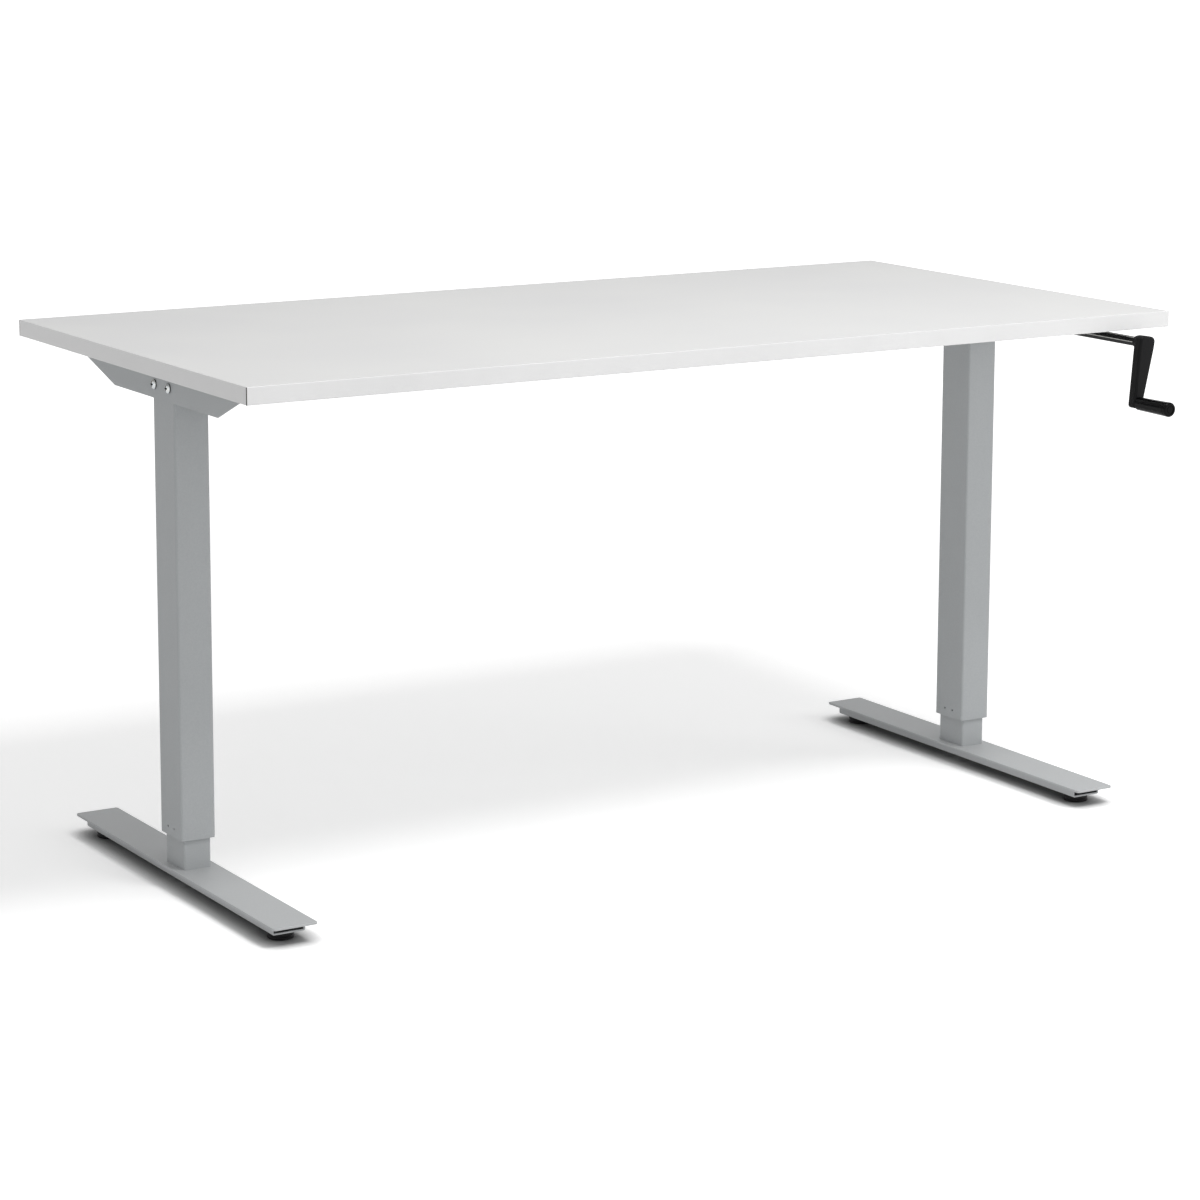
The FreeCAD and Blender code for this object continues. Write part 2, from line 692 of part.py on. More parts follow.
def make_foot_channel(name, side):
    """The folded channel under the plate: its web down, its ends open."""
    body = new_body(f"foot_channel_{name}")
    length = s.foot_length - s.foot_channel_setback * 2
    outside = new_sketch(body, "XY_Plane")
    rectangle(outside, s.foot_channel_width, length)
    pad(body, outside, s.foot_channel_height)
    low = [n for n, edge in straight_edges(body.Shape, Vector(0, 1, 0))
           if edge.CenterOfMass.z < s.foot_channel_height.value / 2]
    round_edges(body, s.foot_channel_bend, low)
    inside = new_sketch(body, "XY_Plane", s.foot_channel_height)
    rectangle(inside, s.foot_channel_width - s.foot_channel_gauge * 2, length)
    pocket(body, inside, s.foot_channel_height - s.foot_channel_gauge)
    holes = new_sketch(body, "XY_Plane")
    for x, y in base_bolt_places():
        circle(holes, s.access_radius, x, y + s.foot_shift)
    for end in (-1, 1):
        circle(holes, s.stud_radius + s.bolt_hole_gap, 0, glide_reach * end)
    pocket(body, holes, s.foot_channel_gauge, backwards=True)
    keep(place(body, leg_x * side, foot_y, s.glide_height))


def make_foot_insert(name, side, end_name, end):
    """The black plastic block that closes one end of the foot channel."""
    reach = s.foot_length / 2 - s.foot_channel_setback - s.insert_setback - s.insert_length / 2
    body = new_body(f"foot_insert_{end_name}_{name}")
    outline = new_sketch(body, "XY_Plane")
    rectangle(outline, s.foot_channel_width - s.foot_channel_gauge * 2, s.insert_length)
    pad(body, outline, s.foot_channel_height - s.foot_channel_gauge)
    recess = new_sketch(body, "XZ_Plane", s.insert_length / 2 * -end)
    inner_height = s.foot_channel_height - s.foot_channel_gauge
    rectangle(recess, s.foot_channel_width - s.foot_channel_gauge * 4,
              inner_height - s.foot_channel_gauge * 2, 0, inner_height / 2)
    pocket(body, recess, s.insert_length / 2, backwards=end > 0)
    keep(place(body, leg_x * side, foot_y + reach * end, s.glide_height + s.foot_channel_gauge))


def make_base_bolts(name, side):
    bolts = []
    for i, (x, y) in enumerate(base_bolt_places(), 1):
        place_x, place_y = leg_x * side + x, desk_y + y
        shank = cylinder(f"base_bolt_shank_{name}_{i}", s.base_bolt_radius,
                         s.foot_plate_thickness + s.base_bolt_bite,
                         place_x, place_y, foot_plate_bottom)
        head = cylinder(f"base_bolt_head_{name}_{i}", s.base_head_radius, s.base_head_height,
                        place_x, place_y, foot_plate_bottom - s.base_head_height)
        bolts.append(fuse(f"base_bolt_{name}_{i}", [shank, head]))
    keep(group(f"base_bolts_{name}", bolts))


def make_weld_nuts(name, side):
    """The two nuts inside the foot channel that take the levelling studs."""
    nuts = []
    for end_name, end in ENDS:
        where = (leg_x * side, foot_y + glide_reach * end, s.glide_height + s.foot_channel_gauge)
        tag = f"{end_name}_{name}"
        blank = hexagon(f"weld_nut_blank_{tag}", s.nut_across / (2 * math.cos(math.pi / 6)),
                        s.nut_height, *where)
        bore = cylinder(f"weld_nut_bore_{tag}", s.stud_radius + s.stud_gap, s.nut_height, *where)
        nuts.append(cut(f"weld_nut_{tag}", blank, bore))
    keep(group(f"weld_nuts_{name}", nuts))


def make_glide(name, side, end_name, end):
    """A levelling glide: a plastic pad moulded round a threaded stud."""
    where = (leg_x * side, foot_y + glide_reach * end)
    pad_body = new_body(f"glide_pad_{end_name}_{name}")
    outline = new_sketch(pad_body, "XY_Plane")
    circle(outline, s.glide_radius)
    pad(pad_body, outline, s.glide_height)
    rims = edges_at(pad_body.Shape, "z", 0) + edges_at(pad_body.Shape, "z", s.glide_height.value)
    round_edges(pad_body, s.glide_rounding, rims)
    hole = new_sketch(pad_body, "XY_Plane", s.glide_height)
    circle(hole, s.stud_radius + s.stud_gap)
    pocket(pad_body, hole, s.glide_height - s.glide_floor)
    keep(place(pad_body, *where))
    stud = cylinder(f"glide_stud_{end_name}_{name}", s.stud_radius,
                    foot_plate_bottom - s.stud_headroom - s.glide_floor, *where, s.glide_floor)
    keep(stud)


# ---- Gearboxes: a housing in the head of each column, with bevel gears and the lead screw

def make_housing(name, side):
    body = new_body(f"gearbox_housing_{name}")
    height = s.housing_height - s.cover_thickness
    outside = new_sketch(body, "XY_Plane")
    rectangle(outside, cavity_x - s.housing_gap * 2, cavity_y - s.housing_gap * 2)
    pad(body, outside, height)
    round_upright_edges(body, s.corner_relief)
    cavity = new_sketch(body, "XY_Plane", height)
    rectangle(cavity, s.cavity_width, s.cavity_depth)
    pocket(body, cavity, height - s.floor_thickness)
    floor_hole = new_sketch(body, "XY_Plane")
    circle(floor_hole, s.journal_radius + s.running_gap)
    pocket(body, floor_hole, s.floor_thickness, backwards=True)
    recess = new_sketch(body, "XY_Plane")
    circle(recess, s.bearing_radius + s.running_gap)
    pocket(body, recess, s.bearing_height, backwards=True)
    bolt_holes = new_sketch(body, "YZ_Plane")
    for end in (-1, 1):
        circle(bolt_holes, s.bolt_radius + s.stud_gap, s.bolt_spacing / 2 * end,
               s.housing_height + s.sheet_gauge - s.bolt_drop)
    pocket(body, bolt_holes, cavity_x, both_ways=True)
    shaft_level = s.housing_height + s.sheet_gauge - s.shaft_drop
    inward = new_sketch(body, "YZ_Plane")
    circle(inward, s.hub_radius + s.running_gap, 0, shaft_level)
    pocket(body, inward, cavity_x, backwards=side < 0)
    if side > 0:
        forward = new_sketch(body, "XZ_Plane")
        circle(forward, s.hub_radius + s.running_gap, 0, shaft_level)
        pocket(body, forward, cavity_y, backwards=True)
    keep(place(body, leg_x * side, desk_y, housing_bottom))


def make_cover(name, side):
    keep(box(f"gearbox_cover_{name}", cavity_x - s.housing_gap * 2 - s.corner_relief,
             cavity_y - s.housing_gap * 2 - s.corner_relief, s.cover_thickness,
             leg_x * side, desk_y, outer_top - s.cover_thickness))


def make_thrust_bearings():
    """The ring under each gearbox floor that carries the column's load on its screw."""
    rings = []
    for name, side in SIDES:
        where = (leg_x * side, desk_y, housing_bottom)
        ring = cylinder(f"thrust_ring_{name}", s.bearing_radius, s.bearing_height, *where)
        bore = cylinder(f"thrust_bore_{name}", s.journal_radius + s.running_gap,
                        s.bearing_height, *where)
        rings.append(cut(f"thrust_bearing_{name}", ring, bore))
    keep(group("thrust_bearings", rings))


def make_lead_screw(name, side):
    """A rod with a journal turned on its upper end."""
    where = (leg_x * side, desk_y)
    thread = cylinder(f"lead_screw_rod_{name}", s.screw_radius, housing_bottom - screw_bottom,
                      *where, screw_bottom)
    journal_top = shaft_z - crown_back - s.crown_cap
    journal = cylinder(f"lead_screw_journal_{name}", s.journal_radius,
                       journal_top - housing_bottom, *where, housing_bottom)
    keep(fuse(f"lead_screw_{name}", [thread, journal]))


def tooth_outline(teeth, half_cone, gap_first):
    """The toothed section of a straight bevel gear at its large end, about the origin.

    The flanks are involutes of the equivalent spur gear, which is 1/cos(half_cone) as large.
    Radial heights grow by the same factor, because the section lies square to the axis.
    """
    module = s.gear_module.value
    pitch = teeth * module / 2
    lean = 1 / math.cos(half_cone)
    equal_pitch = pitch * lean
    base = equal_pitch * math.cos(PRESSURE_ANGLE)
    tip = equal_pitch + ADDENDUM * module
    root = equal_pitch - DEDENDUM * module
    half_tooth = TOOTH_SHARE * math.pi / teeth / lean
    involute = math.tan(PRESSURE_ANGLE) - PRESSURE_ANGLE
    flank = []
    start = max(base, root)
    for i in range(FLANK_POINTS):
        radius = start + (tip - start) * i / (FLANK_POINTS - 1)
        turn = math.acos(min(1, base / radius))
        angle = half_tooth + involute - (math.tan(turn) - turn)
        flank.append((pitch + (radius - equal_pitch) * lean, angle * lean))
    root_radius = pitch + (root - equal_pitch) * lean
    flank.insert(0, (root_radius, flank[0][1]))
    points = []
    for i in range(teeth):
        middle = 2 * math.pi * (i + (0.5 if gap_first else 0)) / teeth
        points += [(r, middle - a) for r, a in flank]
        points += [(r, middle + a) for r, a in reversed(flank)]
    return [Vector(r * math.cos(a), r * math.sin(a), 0) for r, a in points]


PRESSURE_ANGLE = math.radians(20)
ADDENDUM = 0.8
DEDENDUM = 1.05
TOOTH_SHARE = 0.45
FLANK_POINTS = 4


def toothed_cone(teeth, other_teeth, gap_first, back):
    """A bevel gear's teeth along +Z, apex at the origin, ending square at the distance back."""
    pitch_plane = other_teeth * s.gear_module.value / 2
    half_cone = math.atan2(teeth, other_teeth)
    front = pitch_plane * (1 - s.face_width.value / crown_pitch_radius.value)
    outline = tooth_outline(teeth, half_cone, gap_first)
    wires = []
    for level in (front, back):
        ring = [p * (level / pitch_plane) + Vector(0, 0, level) for p in outline]
        wires.append(Part.makePolygon(ring + ring[:1]))
    return Part.makeLoft(wires, True, True)


def make_crown_gear(name, side):
    """The gear on the head of the lead screw, drawn apex down along +Z and then turned over."""
    rim, back = crown_rim_radius.value, crown_back.value
    teeth = toothed_cone(s.crown_teeth.value, s.pinion_teeth.value, True, back)
    teeth = teeth.common(Part.makeCylinder(rim, 2 * back))
    disc = Part.makeCylinder(rim, s.crown_disc.value, Vector(0, 0, back))
    disc_end = back + s.crown_disc.value
    hub_end = (shaft_z - housing_floor_top - s.crown_float).value
    hub = Part.makeCylinder(s.crown_hub_radius.value, hub_end - disc_end, Vector(0, 0, disc_end))
    bore_start = back + s.crown_cap.value
    bore = Part.makeCylinder(s.journal_radius.value, hub_end - bore_start,
                             Vector(0, 0, bore_start))
    gear = doc.addObject("Part::Feature", f"crown_gear_{name}")
    gear.Shape = teeth.fuse([disc, hub]).cut(bore).removeSplitter()
    gear.Label = f"crown_gear_{name}"
    keep(place(gear, leg_x * side, desk_y, shaft_z, Vector(1, 0, 0), 180))


def make_pinion(label, hub_end, x, y, axis, angle):
    """A pinion with a long hub: the hub runs in the gearbox wall and holds a hexagon rod."""
    back = crown_pitch_radius.value
    teeth = toothed_cone(s.pinion_teeth.value, s.crown_teeth.value, False, back)
    hub_start = (crown_rim_radius + s.neck_gap).value
    neck = Part.makeCylinder(s.neck_radius.value, hub_start - back, Vector(0, 0, back))
    hub = Part.makeCylinder(s.hub_radius.value, hub_end.value - hub_start,
                            Vector(0, 0, hub_start))
    socket_start = hub_end.value - s.socket_depth.value
    corners = []
    for i in range(7):
        turn = math.radians(60 * i)
        reach = socket_circumradius.value
        corners.append(Vector(reach * math.cos(turn), reach * math.sin(turn), socket_start))
    socket = Part.Face(Part.makePolygon(corners)).extrude(Vector(0, 0, s.socket_depth.value))
    gear = doc.addObject("Part::Feature", label)
    gear.Shape = teeth.fuse([neck, hub]).cut(socket).removeSplitter()
    gear.Label = label
    keep(place(gear, x, y, shaft_z, axis, angle))


def make_cross_shaft():
    """The hexagon rod that joins the two gearboxes."""
    reach = leg_x - (s.outer_width / 2 + s.hub_projection - s.socket_depth + s.rod_end_gap)
    rod = hexagon("cross_shaft", hex_circumradius, reach * 2, -reach, desk_y, shaft_z,
                  Vector(0, 1, 0), 90)
    keep(rod)


# ---- Cross beam and the bolts that hold channel, column, gearbox and beam together

def make_cross_beam():
    """An open channel that stiffens the frame and covers the cross shaft."""
    body = new_body("cross_beam")
    half = leg_x - channel_outside / 2
    top = -s.beam_drop
    low = top - s.beam_height
    middle = (top + low) / 2
    outside = new_sketch(body, "YZ_Plane")
    rectangle(outside, s.beam_width, s.beam_height, 0, middle)
    pad(body, outside, half * 2, both_ways=True)
    long_edges = straight_edges(body.Shape, Vector(1, 0, 0))
    round_edges(body, s.sheet_bend, [name for name, edge in long_edges
                                     if edge.CenterOfMass.z < low.value + 1e-6])
    inside = new_sketch(body, "YZ_Plane")
    depth = s.beam_height - s.sheet_gauge
    rectangle(inside, s.beam_width - s.sheet_gauge * 2, depth, 0, top - depth / 2)
    pocket(body, inside, half * 2 - s.flange_thickness * 2, both_ways=True)
    for end in (-1, 1):
        flange = new_sketch(body, "YZ_Plane", half * end)
        rectangle(flange, s.flange_width, s.beam_height, 0, middle)
        pad(body, flange, s.flange_thickness, backwards=end > 0)
    holes = new_sketch(body, "YZ_Plane")
    circle(holes, s.hub_radius + s.hub_hole_gap, 0, -s.shaft_drop)
    for end in (-1, 1):
        circle(holes, s.bolt_radius + s.bolt_hole_gap, s.bolt_spacing / 2 * end, -s.bolt_drop)
    pocket(body, holes, half * 2, both_ways=True)
    keep(place(body, 0, desk_y, underside))


def make_dome_bolt(tag, seat_x, y, toward, grip):
    """A bolt along X with a domed, recessed head that bears at seat_x."""
    turn = 90 * toward
    axis = Vector(0, 1, 0)
    shank = cylinder(f"bolt_shank_{tag}", s.bolt_radius, grip + s.bolt_bite,
                     seat_x, y, bolt_z, axis, turn)
    dome = doc.addObject("Part::Sphere", f"bolt_dome_{tag}")
    radius = (s.bolt_head_radius * s.bolt_head_radius / s.bolt_head_height
              + s.bolt_head_height) / 2
    below_seat = radius - s.bolt_head_height
    bind(dome, "Radius", radius)
    dome.setExpression("Angle1", f"asin({(below_seat / radius).text})")
    place(dome, seat_x + below_seat * toward, y, bolt_z, axis, -turn)
    solid = fuse(f"bolt_solid_{tag}", [shank, dome])
    face_x = seat_x - s.bolt_head_height * toward
    recess = hexagon(f"bolt_recess_{tag}", s.bolt_drive_radius, s.bolt_drive_depth,
                     face_x, y, bolt_z, axis, turn)
    return cut(f"bolt_{tag}", solid, recess)


def make_column_bolts():
    bolts = []
    tube_stack = s.channel_gap + s.outer_wall + s.housing_gap
    for name, side in SIDES:
        for end_name, end in ENDS:
            y = desk_y + s.bolt_spacing / 2 * end
            outer_seat = (leg_x + channel_outside / 2) * side
            bolts.append(make_dome_bolt(f"outer_{end_name}_{name}", outer_seat, y, -side,
                                        s.sheet_gauge + tube_stack))
            inner_seat = (leg_x - channel_outside / 2 - s.flange_thickness) * side
            bolts.append(make_dome_bolt(f"inner_{end_name}_{name}", inner_seat, y, side,
                                        s.flange_thickness + s.sheet_gauge + tube_stack))
    keep(group("column_bolts", bolts))


# ---- Crank: a hexagon rod from the right gearbox to a cast arm with a turning grip

def make_bearing_block():
    """The plastic block between the channel walls that carries the crank rod."""
    body = new_body("crank_bearing")
    outline = new_sketch(body, "XZ_Plane")
    rectangle(outline, channel_inside, s.bearing_block_height, 0,
              -s.sheet_gauge - s.bearing_block_height / 2)
    circle(outline, crank_circumradius + s.running_gap * 2, 0, -s.shaft_drop)
    pad(body, outline, s.bearing_block_length, both_ways=True)
    keep(place(body, leg_x, desk_y - s.bearing_block_reach, underside))


def make_crank_rod():
    """A hexagon rod, milled smaller at its rear end where it enters the pinion's hub."""
    hub_face = desk_y - s.outer_depth / 2 - s.hub_projection
    rear = hub_face + s.socket_depth - s.rod_end_gap
    shoulder = hub_face - s.rod_end_gap
    front = arm_back_y - s.rod_seat
    spigot = hexagon("crank_rod_spigot", hex_circumradius, rear - shoulder, leg_x, rear, shaft_z,
                     Vector(1, 0, 0), 90)
    bar = hexagon("crank_rod_bar", crank_circumradius, shoulder - front, leg_x, shoulder,
                  shaft_z, Vector(1, 0, 0), 90)
    keep(fuse("crank_rod", [spigot, bar]))


def make_crank_arm():
    """A tapered arm drawn hanging from the shaft axis, its back face at y = 0, front at -y."""
    body = new_body("crank_arm")
    outline = new_sketch(body, "XZ_Plane")
    foot = -s.arm_length - s.arm_tip / 2
    polygon(outline, ((-s.arm_tip / 2, foot), (s.arm_tip / 2, foot),
                      (s.arm_head / 2, -s.arm_shoulder), (s.arm_head / 2, s.arm_crown),
                      (-s.arm_head / 2, s.arm_crown), (-s.arm_head / 2, -s.arm_shoulder)))
    pad(body, outline, s.arm_thickness)
    round_edges(body, s.arm_head_corner,
                [name for name, edge in straight_edges(body.Shape, Vector(0, 1, 0))
                 if edge.CenterOfMass.z > 0])
    round_edges(body, s.arm_tip_corner,
                [name for name, edge in straight_edges(body.Shape, Vector(0, 1, 0))
                 if edge.CenterOfMass.z < -s.arm_length.value])
    low = -s.arm_thickness.value
    round_edges(body, s.arm_rounding,
                edges_at(body.Shape, "y", 0) + edges_at(body.Shape, "y", low))
    collar = body.newObject("PartDesign::AdditiveCone", "crank_arm_collar")
    bind(collar, "Radius1", s.arm_head / 2 - s.arm_rounding)
    bind(collar, "Radius2", s.collar_radius)
    bind(collar, "Height", s.collar_length)
    plane = next(f for f in body.Origin.OriginFeatures if f.Role == "XZ_Plane")
    collar.AttachmentSupport = [(plane, "")]
    collar.MapMode = "FlatFace"
    collar.AttachmentOffset = Placement(Vector(0, 0, 0), Rotation(Vector(1, 0, 0), 180))
    doc.recompute()
    rod_hole = new_sketch(body, "XZ_Plane", -s.collar_length)
    polygon(rod_hole, [polar(crank_circumradius, s.crank_angle + 60 * i) for i in range(6)])
    pocket(body, rod_hole, s.collar_length + s.rod_seat, backwards=True)
    axle_hole = new_sketch(body, "XZ_Plane", s.arm_thickness)
    circle(axle_hole, s.axle_radius, 0, -s.arm_length)
    pocket(body, axle_hole, s.axle_seat)
    keep(place(body, leg_x, arm_back_y, shaft_z, Vector(0, 1, 0), s.crank_angle))


def make_grip_axle():
    """The steel pin pressed into the arm's lower end."""
    body = new_body("grip_axle")
    section = new_sketch(body, "XZ_Plane", s.arm_thickness - s.axle_seat)
    circle(section, s.axle_radius, 0, -s.arm_length)
    pad(body, section, s.axle_seat + s.grip_gap + s.axle_reach)
    keep(place(body, leg_x, arm_back_y, shaft_z, Vector(0, 1, 0), s.crank_angle))


def make_grip():
    """A slightly flared plastic grip with a blind bore for the axle."""
    body = new_body("crank_grip")
    profile = new_sketch(body, "YZ_Plane")
    near = -s.arm_thickness - s.grip_gap
    far = near - s.grip_length
    axis_z = -s.arm_length
    bore = s.axle_radius + s.running_gap
    bore_end = near - s.axle_reach - s.rod_end_gap
    polygon(profile, ((near, axis_z + bore), (near, axis_z + s.grip_neck_radius),
                      (far, axis_z + s.grip_radius), (far, axis_z), (bore_end, axis_z),
                      (bore_end, axis_z + bore)))
    turned = body.newObject("PartDesign::Revolution", "crank_grip_turned")
    turned.Profile = profile
    turned.ReferenceAxis = (profile, ["Edge4"])
    turned.Angle = 360
    doc.recompute()
    round_edges(body, s.grip_rounding, edges_at(body.Shape, "y", far.value))
    keep(place(body, leg_x, arm_back_y, shaft_z, Vector(0, 1, 0), s.crank_angle))


# ---- Build every piece

make_board()
make_bands()
make_top_screws()
make_support_channel("support_channel_left", -1, s.front_bevel)
make_support_channel("support_channel_right", 1, s.crank_bevel)
for side_name, side_sign in SIDES:
    make_outer_tube(side_name, side_sign)
    make_inner_tube(side_name, side_sign)
    make_lower_guide(side_name, side_sign)
    make_upper_guide(side_name, side_sign)
    make_lead_nut(side_name, side_sign)
    make_base_block(side_name, side_sign)
    make_foot_plate(side_name, side_sign)
    make_foot_channel(side_name, side_sign)
    make_base_bolts(side_name, side_sign)
    make_weld_nuts(side_name, side_sign)
    for foot_end, end_sign in ENDS:
        make_foot_insert(side_name, side_sign, foot_end, end_sign)
        make_glide(side_name, side_sign, foot_end, end_sign)
    make_housing(side_name, side_sign)
    make_cover(side_name, side_sign)
    make_lead_screw(side_name, side_sign)
    make_crown_gear(side_name, side_sign)
    make_pinion(f"cross_pinion_{side_name}", s.outer_width / 2 + s.hub_projection,
                leg_x * side_sign, desk_y, Vector(0, 1, 0), -90 * side_sign)
make_pinion("crank_pinion", s.outer_depth / 2 + s.hub_projection, leg_x, desk_y,
            Vector(1, 0, 0), 90)
make_thrust_bearings()
make_cross_shaft()
make_cross_beam()
make_column_bolts()
make_bearing_block()
make_crank_rod()
make_crank_arm()
make_grip_axle()
make_grip()
doc.recompute()


# ---- Check the document, then write one STEP file for each sub-part

for thing in doc.Objects:
    if "Invalid" in thing.State or "Error" in thing.State:
        raise RuntimeError(f"{thing.Label} failed: {thing.State}")
for node in nodes:
    if node.Shape.isNull() or not node.Shape.isValid() or not node.Shape.Solids:
        raise RuntimeError(f"{node.Label} has no valid solid")
os.makedirs("parts", exist_ok=True)
for node in nodes:
    node.Shape.exportStep(f"parts/{node.Label}.step")
print(f"{len(nodes)} sub-parts written")
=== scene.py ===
"""The looks of a hand-cranked sit-stand desk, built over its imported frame.

Metres, +X along the worktop to the right, +Y to the back, +Z up, as in the frame.
"""
import math

import bmesh
import bpy
from mathutils import Matrix, Vector


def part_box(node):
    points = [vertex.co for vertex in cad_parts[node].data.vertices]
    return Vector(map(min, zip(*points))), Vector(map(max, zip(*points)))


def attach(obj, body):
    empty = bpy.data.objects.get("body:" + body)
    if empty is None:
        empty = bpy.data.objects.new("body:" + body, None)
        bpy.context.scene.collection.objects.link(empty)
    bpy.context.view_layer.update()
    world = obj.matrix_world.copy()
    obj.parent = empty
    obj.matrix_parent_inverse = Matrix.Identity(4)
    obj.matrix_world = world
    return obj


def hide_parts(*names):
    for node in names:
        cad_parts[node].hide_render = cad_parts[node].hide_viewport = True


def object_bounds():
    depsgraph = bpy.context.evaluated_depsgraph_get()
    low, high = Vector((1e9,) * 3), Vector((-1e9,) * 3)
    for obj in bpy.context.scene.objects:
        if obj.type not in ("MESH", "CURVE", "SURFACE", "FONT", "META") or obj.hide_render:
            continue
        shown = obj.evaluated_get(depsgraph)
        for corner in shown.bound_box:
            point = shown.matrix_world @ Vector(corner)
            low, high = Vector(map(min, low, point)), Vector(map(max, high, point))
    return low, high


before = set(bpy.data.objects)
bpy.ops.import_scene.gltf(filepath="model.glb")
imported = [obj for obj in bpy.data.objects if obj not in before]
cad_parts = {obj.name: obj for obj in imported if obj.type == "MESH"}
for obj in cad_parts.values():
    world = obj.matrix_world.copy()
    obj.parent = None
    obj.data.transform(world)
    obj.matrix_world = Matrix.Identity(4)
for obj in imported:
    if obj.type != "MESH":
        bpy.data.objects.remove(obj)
cad_low, cad_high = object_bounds()
scene = bpy.context.scene
scene.view_settings.view_transform = "Standard"


# ---- The studio: a pale floor that runs out to a white surround, a soft lamp high in front of
# the desk, a weaker one low on its right, and pale light from all round.

MM = 0.001


def linear(hex_colour):
    """Turn an sRGB hex colour into the linear colour that shaders take."""
    channels = [int(hex_colour[i:i + 2], 16) / 255 for i in (1, 3, 5)]
    return [c / 12.92 if c < 0.04045 else ((c + 0.055) / 1.055) ** 2.4 for c in channels] + [1]


def add_node(tree, kind, inputs=None, **settings):
    """Add one shader node, with its settings and with values or links for its inputs."""
    node = tree.nodes.new(f"ShaderNode{kind}")
    for name, value in settings.items():
        setattr(node, name, value)
    for name, value in (inputs or {}).items():
        if isinstance(value, bpy.types.NodeSocket):
            tree.links.new(value, node.inputs[name])
        else:
            node.inputs[name].default_value = value
    return node


def seen_directly(tree):
    """One where a ray comes from the camera or off something glossy or clear, else zero."""
    path = add_node(tree, "LightPath")
    total = path.outputs["Is Camera Ray"]
    for name in ("Is Glossy Ray", "Is Transmission Ray"):
        total = add_node(tree, "Math", {0: total, 1: path.outputs[name]},
                         operation="MAXIMUM").outputs[0]
    return total


def make_surround():
    world = bpy.data.worlds.new("white_surround")
    world.use_nodes = True
    tree = world.node_tree
    tree.nodes.clear()
    # The studio is a little brighter in front and to the right than behind.
    heading = add_node(tree, "TexCoord").outputs["Generated"]
    toward = add_node(tree, "VectorMath", {0: heading, 1: (0.6, -0.8, 0.0)},
                      operation="DOT_PRODUCT").outputs["Value"]
    dimmest, brightest = 0.4, 0.76
    level = add_node(tree, "MapRange", {0: toward, 1: -1.0, 2: 1.0, 3: dimmest, 4: brightest})
    around = add_node(tree, "Background", {"Color": linear("#FFFFFF"),
                                           "Strength": level.outputs[0]})
    backdrop = add_node(tree, "Background", {"Color": linear("#FFFFFF"), "Strength": 1.0})
    mixed = add_node(tree, "MixShader", {0: seen_directly(tree), 1: around.outputs[0],
                                         2: backdrop.outputs[0]})
    add_node(tree, "OutputWorld", {"Surface": mixed.outputs[0]})
    scene.world = world


def make_floor():
    bpy.ops.mesh.primitive_plane_add(size=60)
    floor = bpy.context.object
    floor.name = "studio_floor"
    material = bpy.data.materials.new("pale_floor_paint")
    material.use_nodes = True
    tree = material.node_tree
    tree.nodes.clear()
    paint = add_node(tree, "BsdfDiffuse", {"Color": linear("#F6F6F6")})
    where = add_node(tree, "TexCoord").outputs["Object"]
    away = add_node(tree, "VectorMath", {0: where}, operation="LENGTH").outputs["Value"]
    # A glow that only the camera and reflections see fades the floor into the white surround.
    near, far, near_glow, far_glow = 1.2, 5.0, 0.33, 0.8
    glow = add_node(tree, "MapRange", {0: away, 1: near, 2: far, 3: near_glow, 4: far_glow},
                    interpolation_type="SMOOTHSTEP")
    # Close under something the glow is taken away and the floor is left to its own shade; where
    # it is shut in, painted shade darkens it further.
    nook_depth, steepness = 30 * MM, 4.0
    open_sky = add_node(tree, "AmbientOcclusion", {"Distance": nook_depth}).outputs["AO"]
    shade = add_node(tree, "Math", {0: open_sky, 1: steepness}, operation="POWER").outputs[0]
    lift = add_node(tree, "Emission", {
        "Color": linear("#FFFFFF"),
        "Strength": add_node(tree, "Math", {0: glow.outputs[0], 1: shade},
                             operation="MULTIPLY").outputs[0]})
    lifted = add_node(tree, "AddShader", {0: paint.outputs[0], 1: lift.outputs[0]})
    # Painted shade: black mixed into the floor where it is shut in, as a contact shadow.
    painted_contact_shade = add_node(tree, "BsdfDiffuse", {"Color": linear("#000000")})
    deepened = add_node(tree, "MixShader", {0: open_sky, 1: painted_contact_shade.outputs[0],
                                            2: lifted.outputs[0]})
    mixed = add_node(tree, "MixShader", {0: seen_directly(tree), 1: paint.outputs[0],
                                         2: deepened.outputs[0]})
    add_node(tree, "OutputMaterial", {"Surface": mixed.outputs[0]})
    floor.data.materials.append(material)


def add_lamp(name, direction, distance, size, power):
    """A square soft lamp that looks at the middle of the desk from a direction."""
    middle = (cad_low + cad_high) / 2
    toward = Vector(direction).normalized()
    bpy.ops.object.light_add(type="AREA", location=middle + toward * distance)
    lamp = bpy.context.object
    lamp.name = name
    lamp.data.size = size
    lamp.data.energy = power
    lamp.rotation_euler = toward.to_track_quat("Z", "Y").to_euler()


def make_camera():
    turn, tilt, roll = math.radians(31.37), math.radians(9.75), math.radians(0.19)
    bpy.ops.object.camera_add(location=(-2.4542, -3.9665, 1.3176))
    camera = bpy.context.object
    camera.name = "studio_camera"
    aim = (Matrix.Rotation(-turn, 4, "Z") @ Matrix.Rotation(math.pi / 2 - tilt, 4, "X")
           @ Matrix.Rotation(roll, 4, "Z"))
    camera.rotation_euler = aim.to_euler()
    camera.data.sensor_width = 36
    camera.data.lens = 105.03
    camera.data.shift_y = -0.12
    camera.data.clip_end = 200
    scene.camera = camera


bpy.ops.object.select_all(action="DESELECT")
make_surround()
make_floor()
add_lamp("key_lamp", (0.13, -0.48, 0.86), distance=3.3, size=0.85, power=57)
add_lamp("right_lamp", (0.9, -0.5, 0.25), distance=2.6, size=1.0, power=7.5)
make_camera()


# ---- Worktop board: chipboard faced with white melamine paper, pressed against a plate with a
# fine pearl texture. The face is pale grey-white and satin, and the pearl breaks up the gloss.

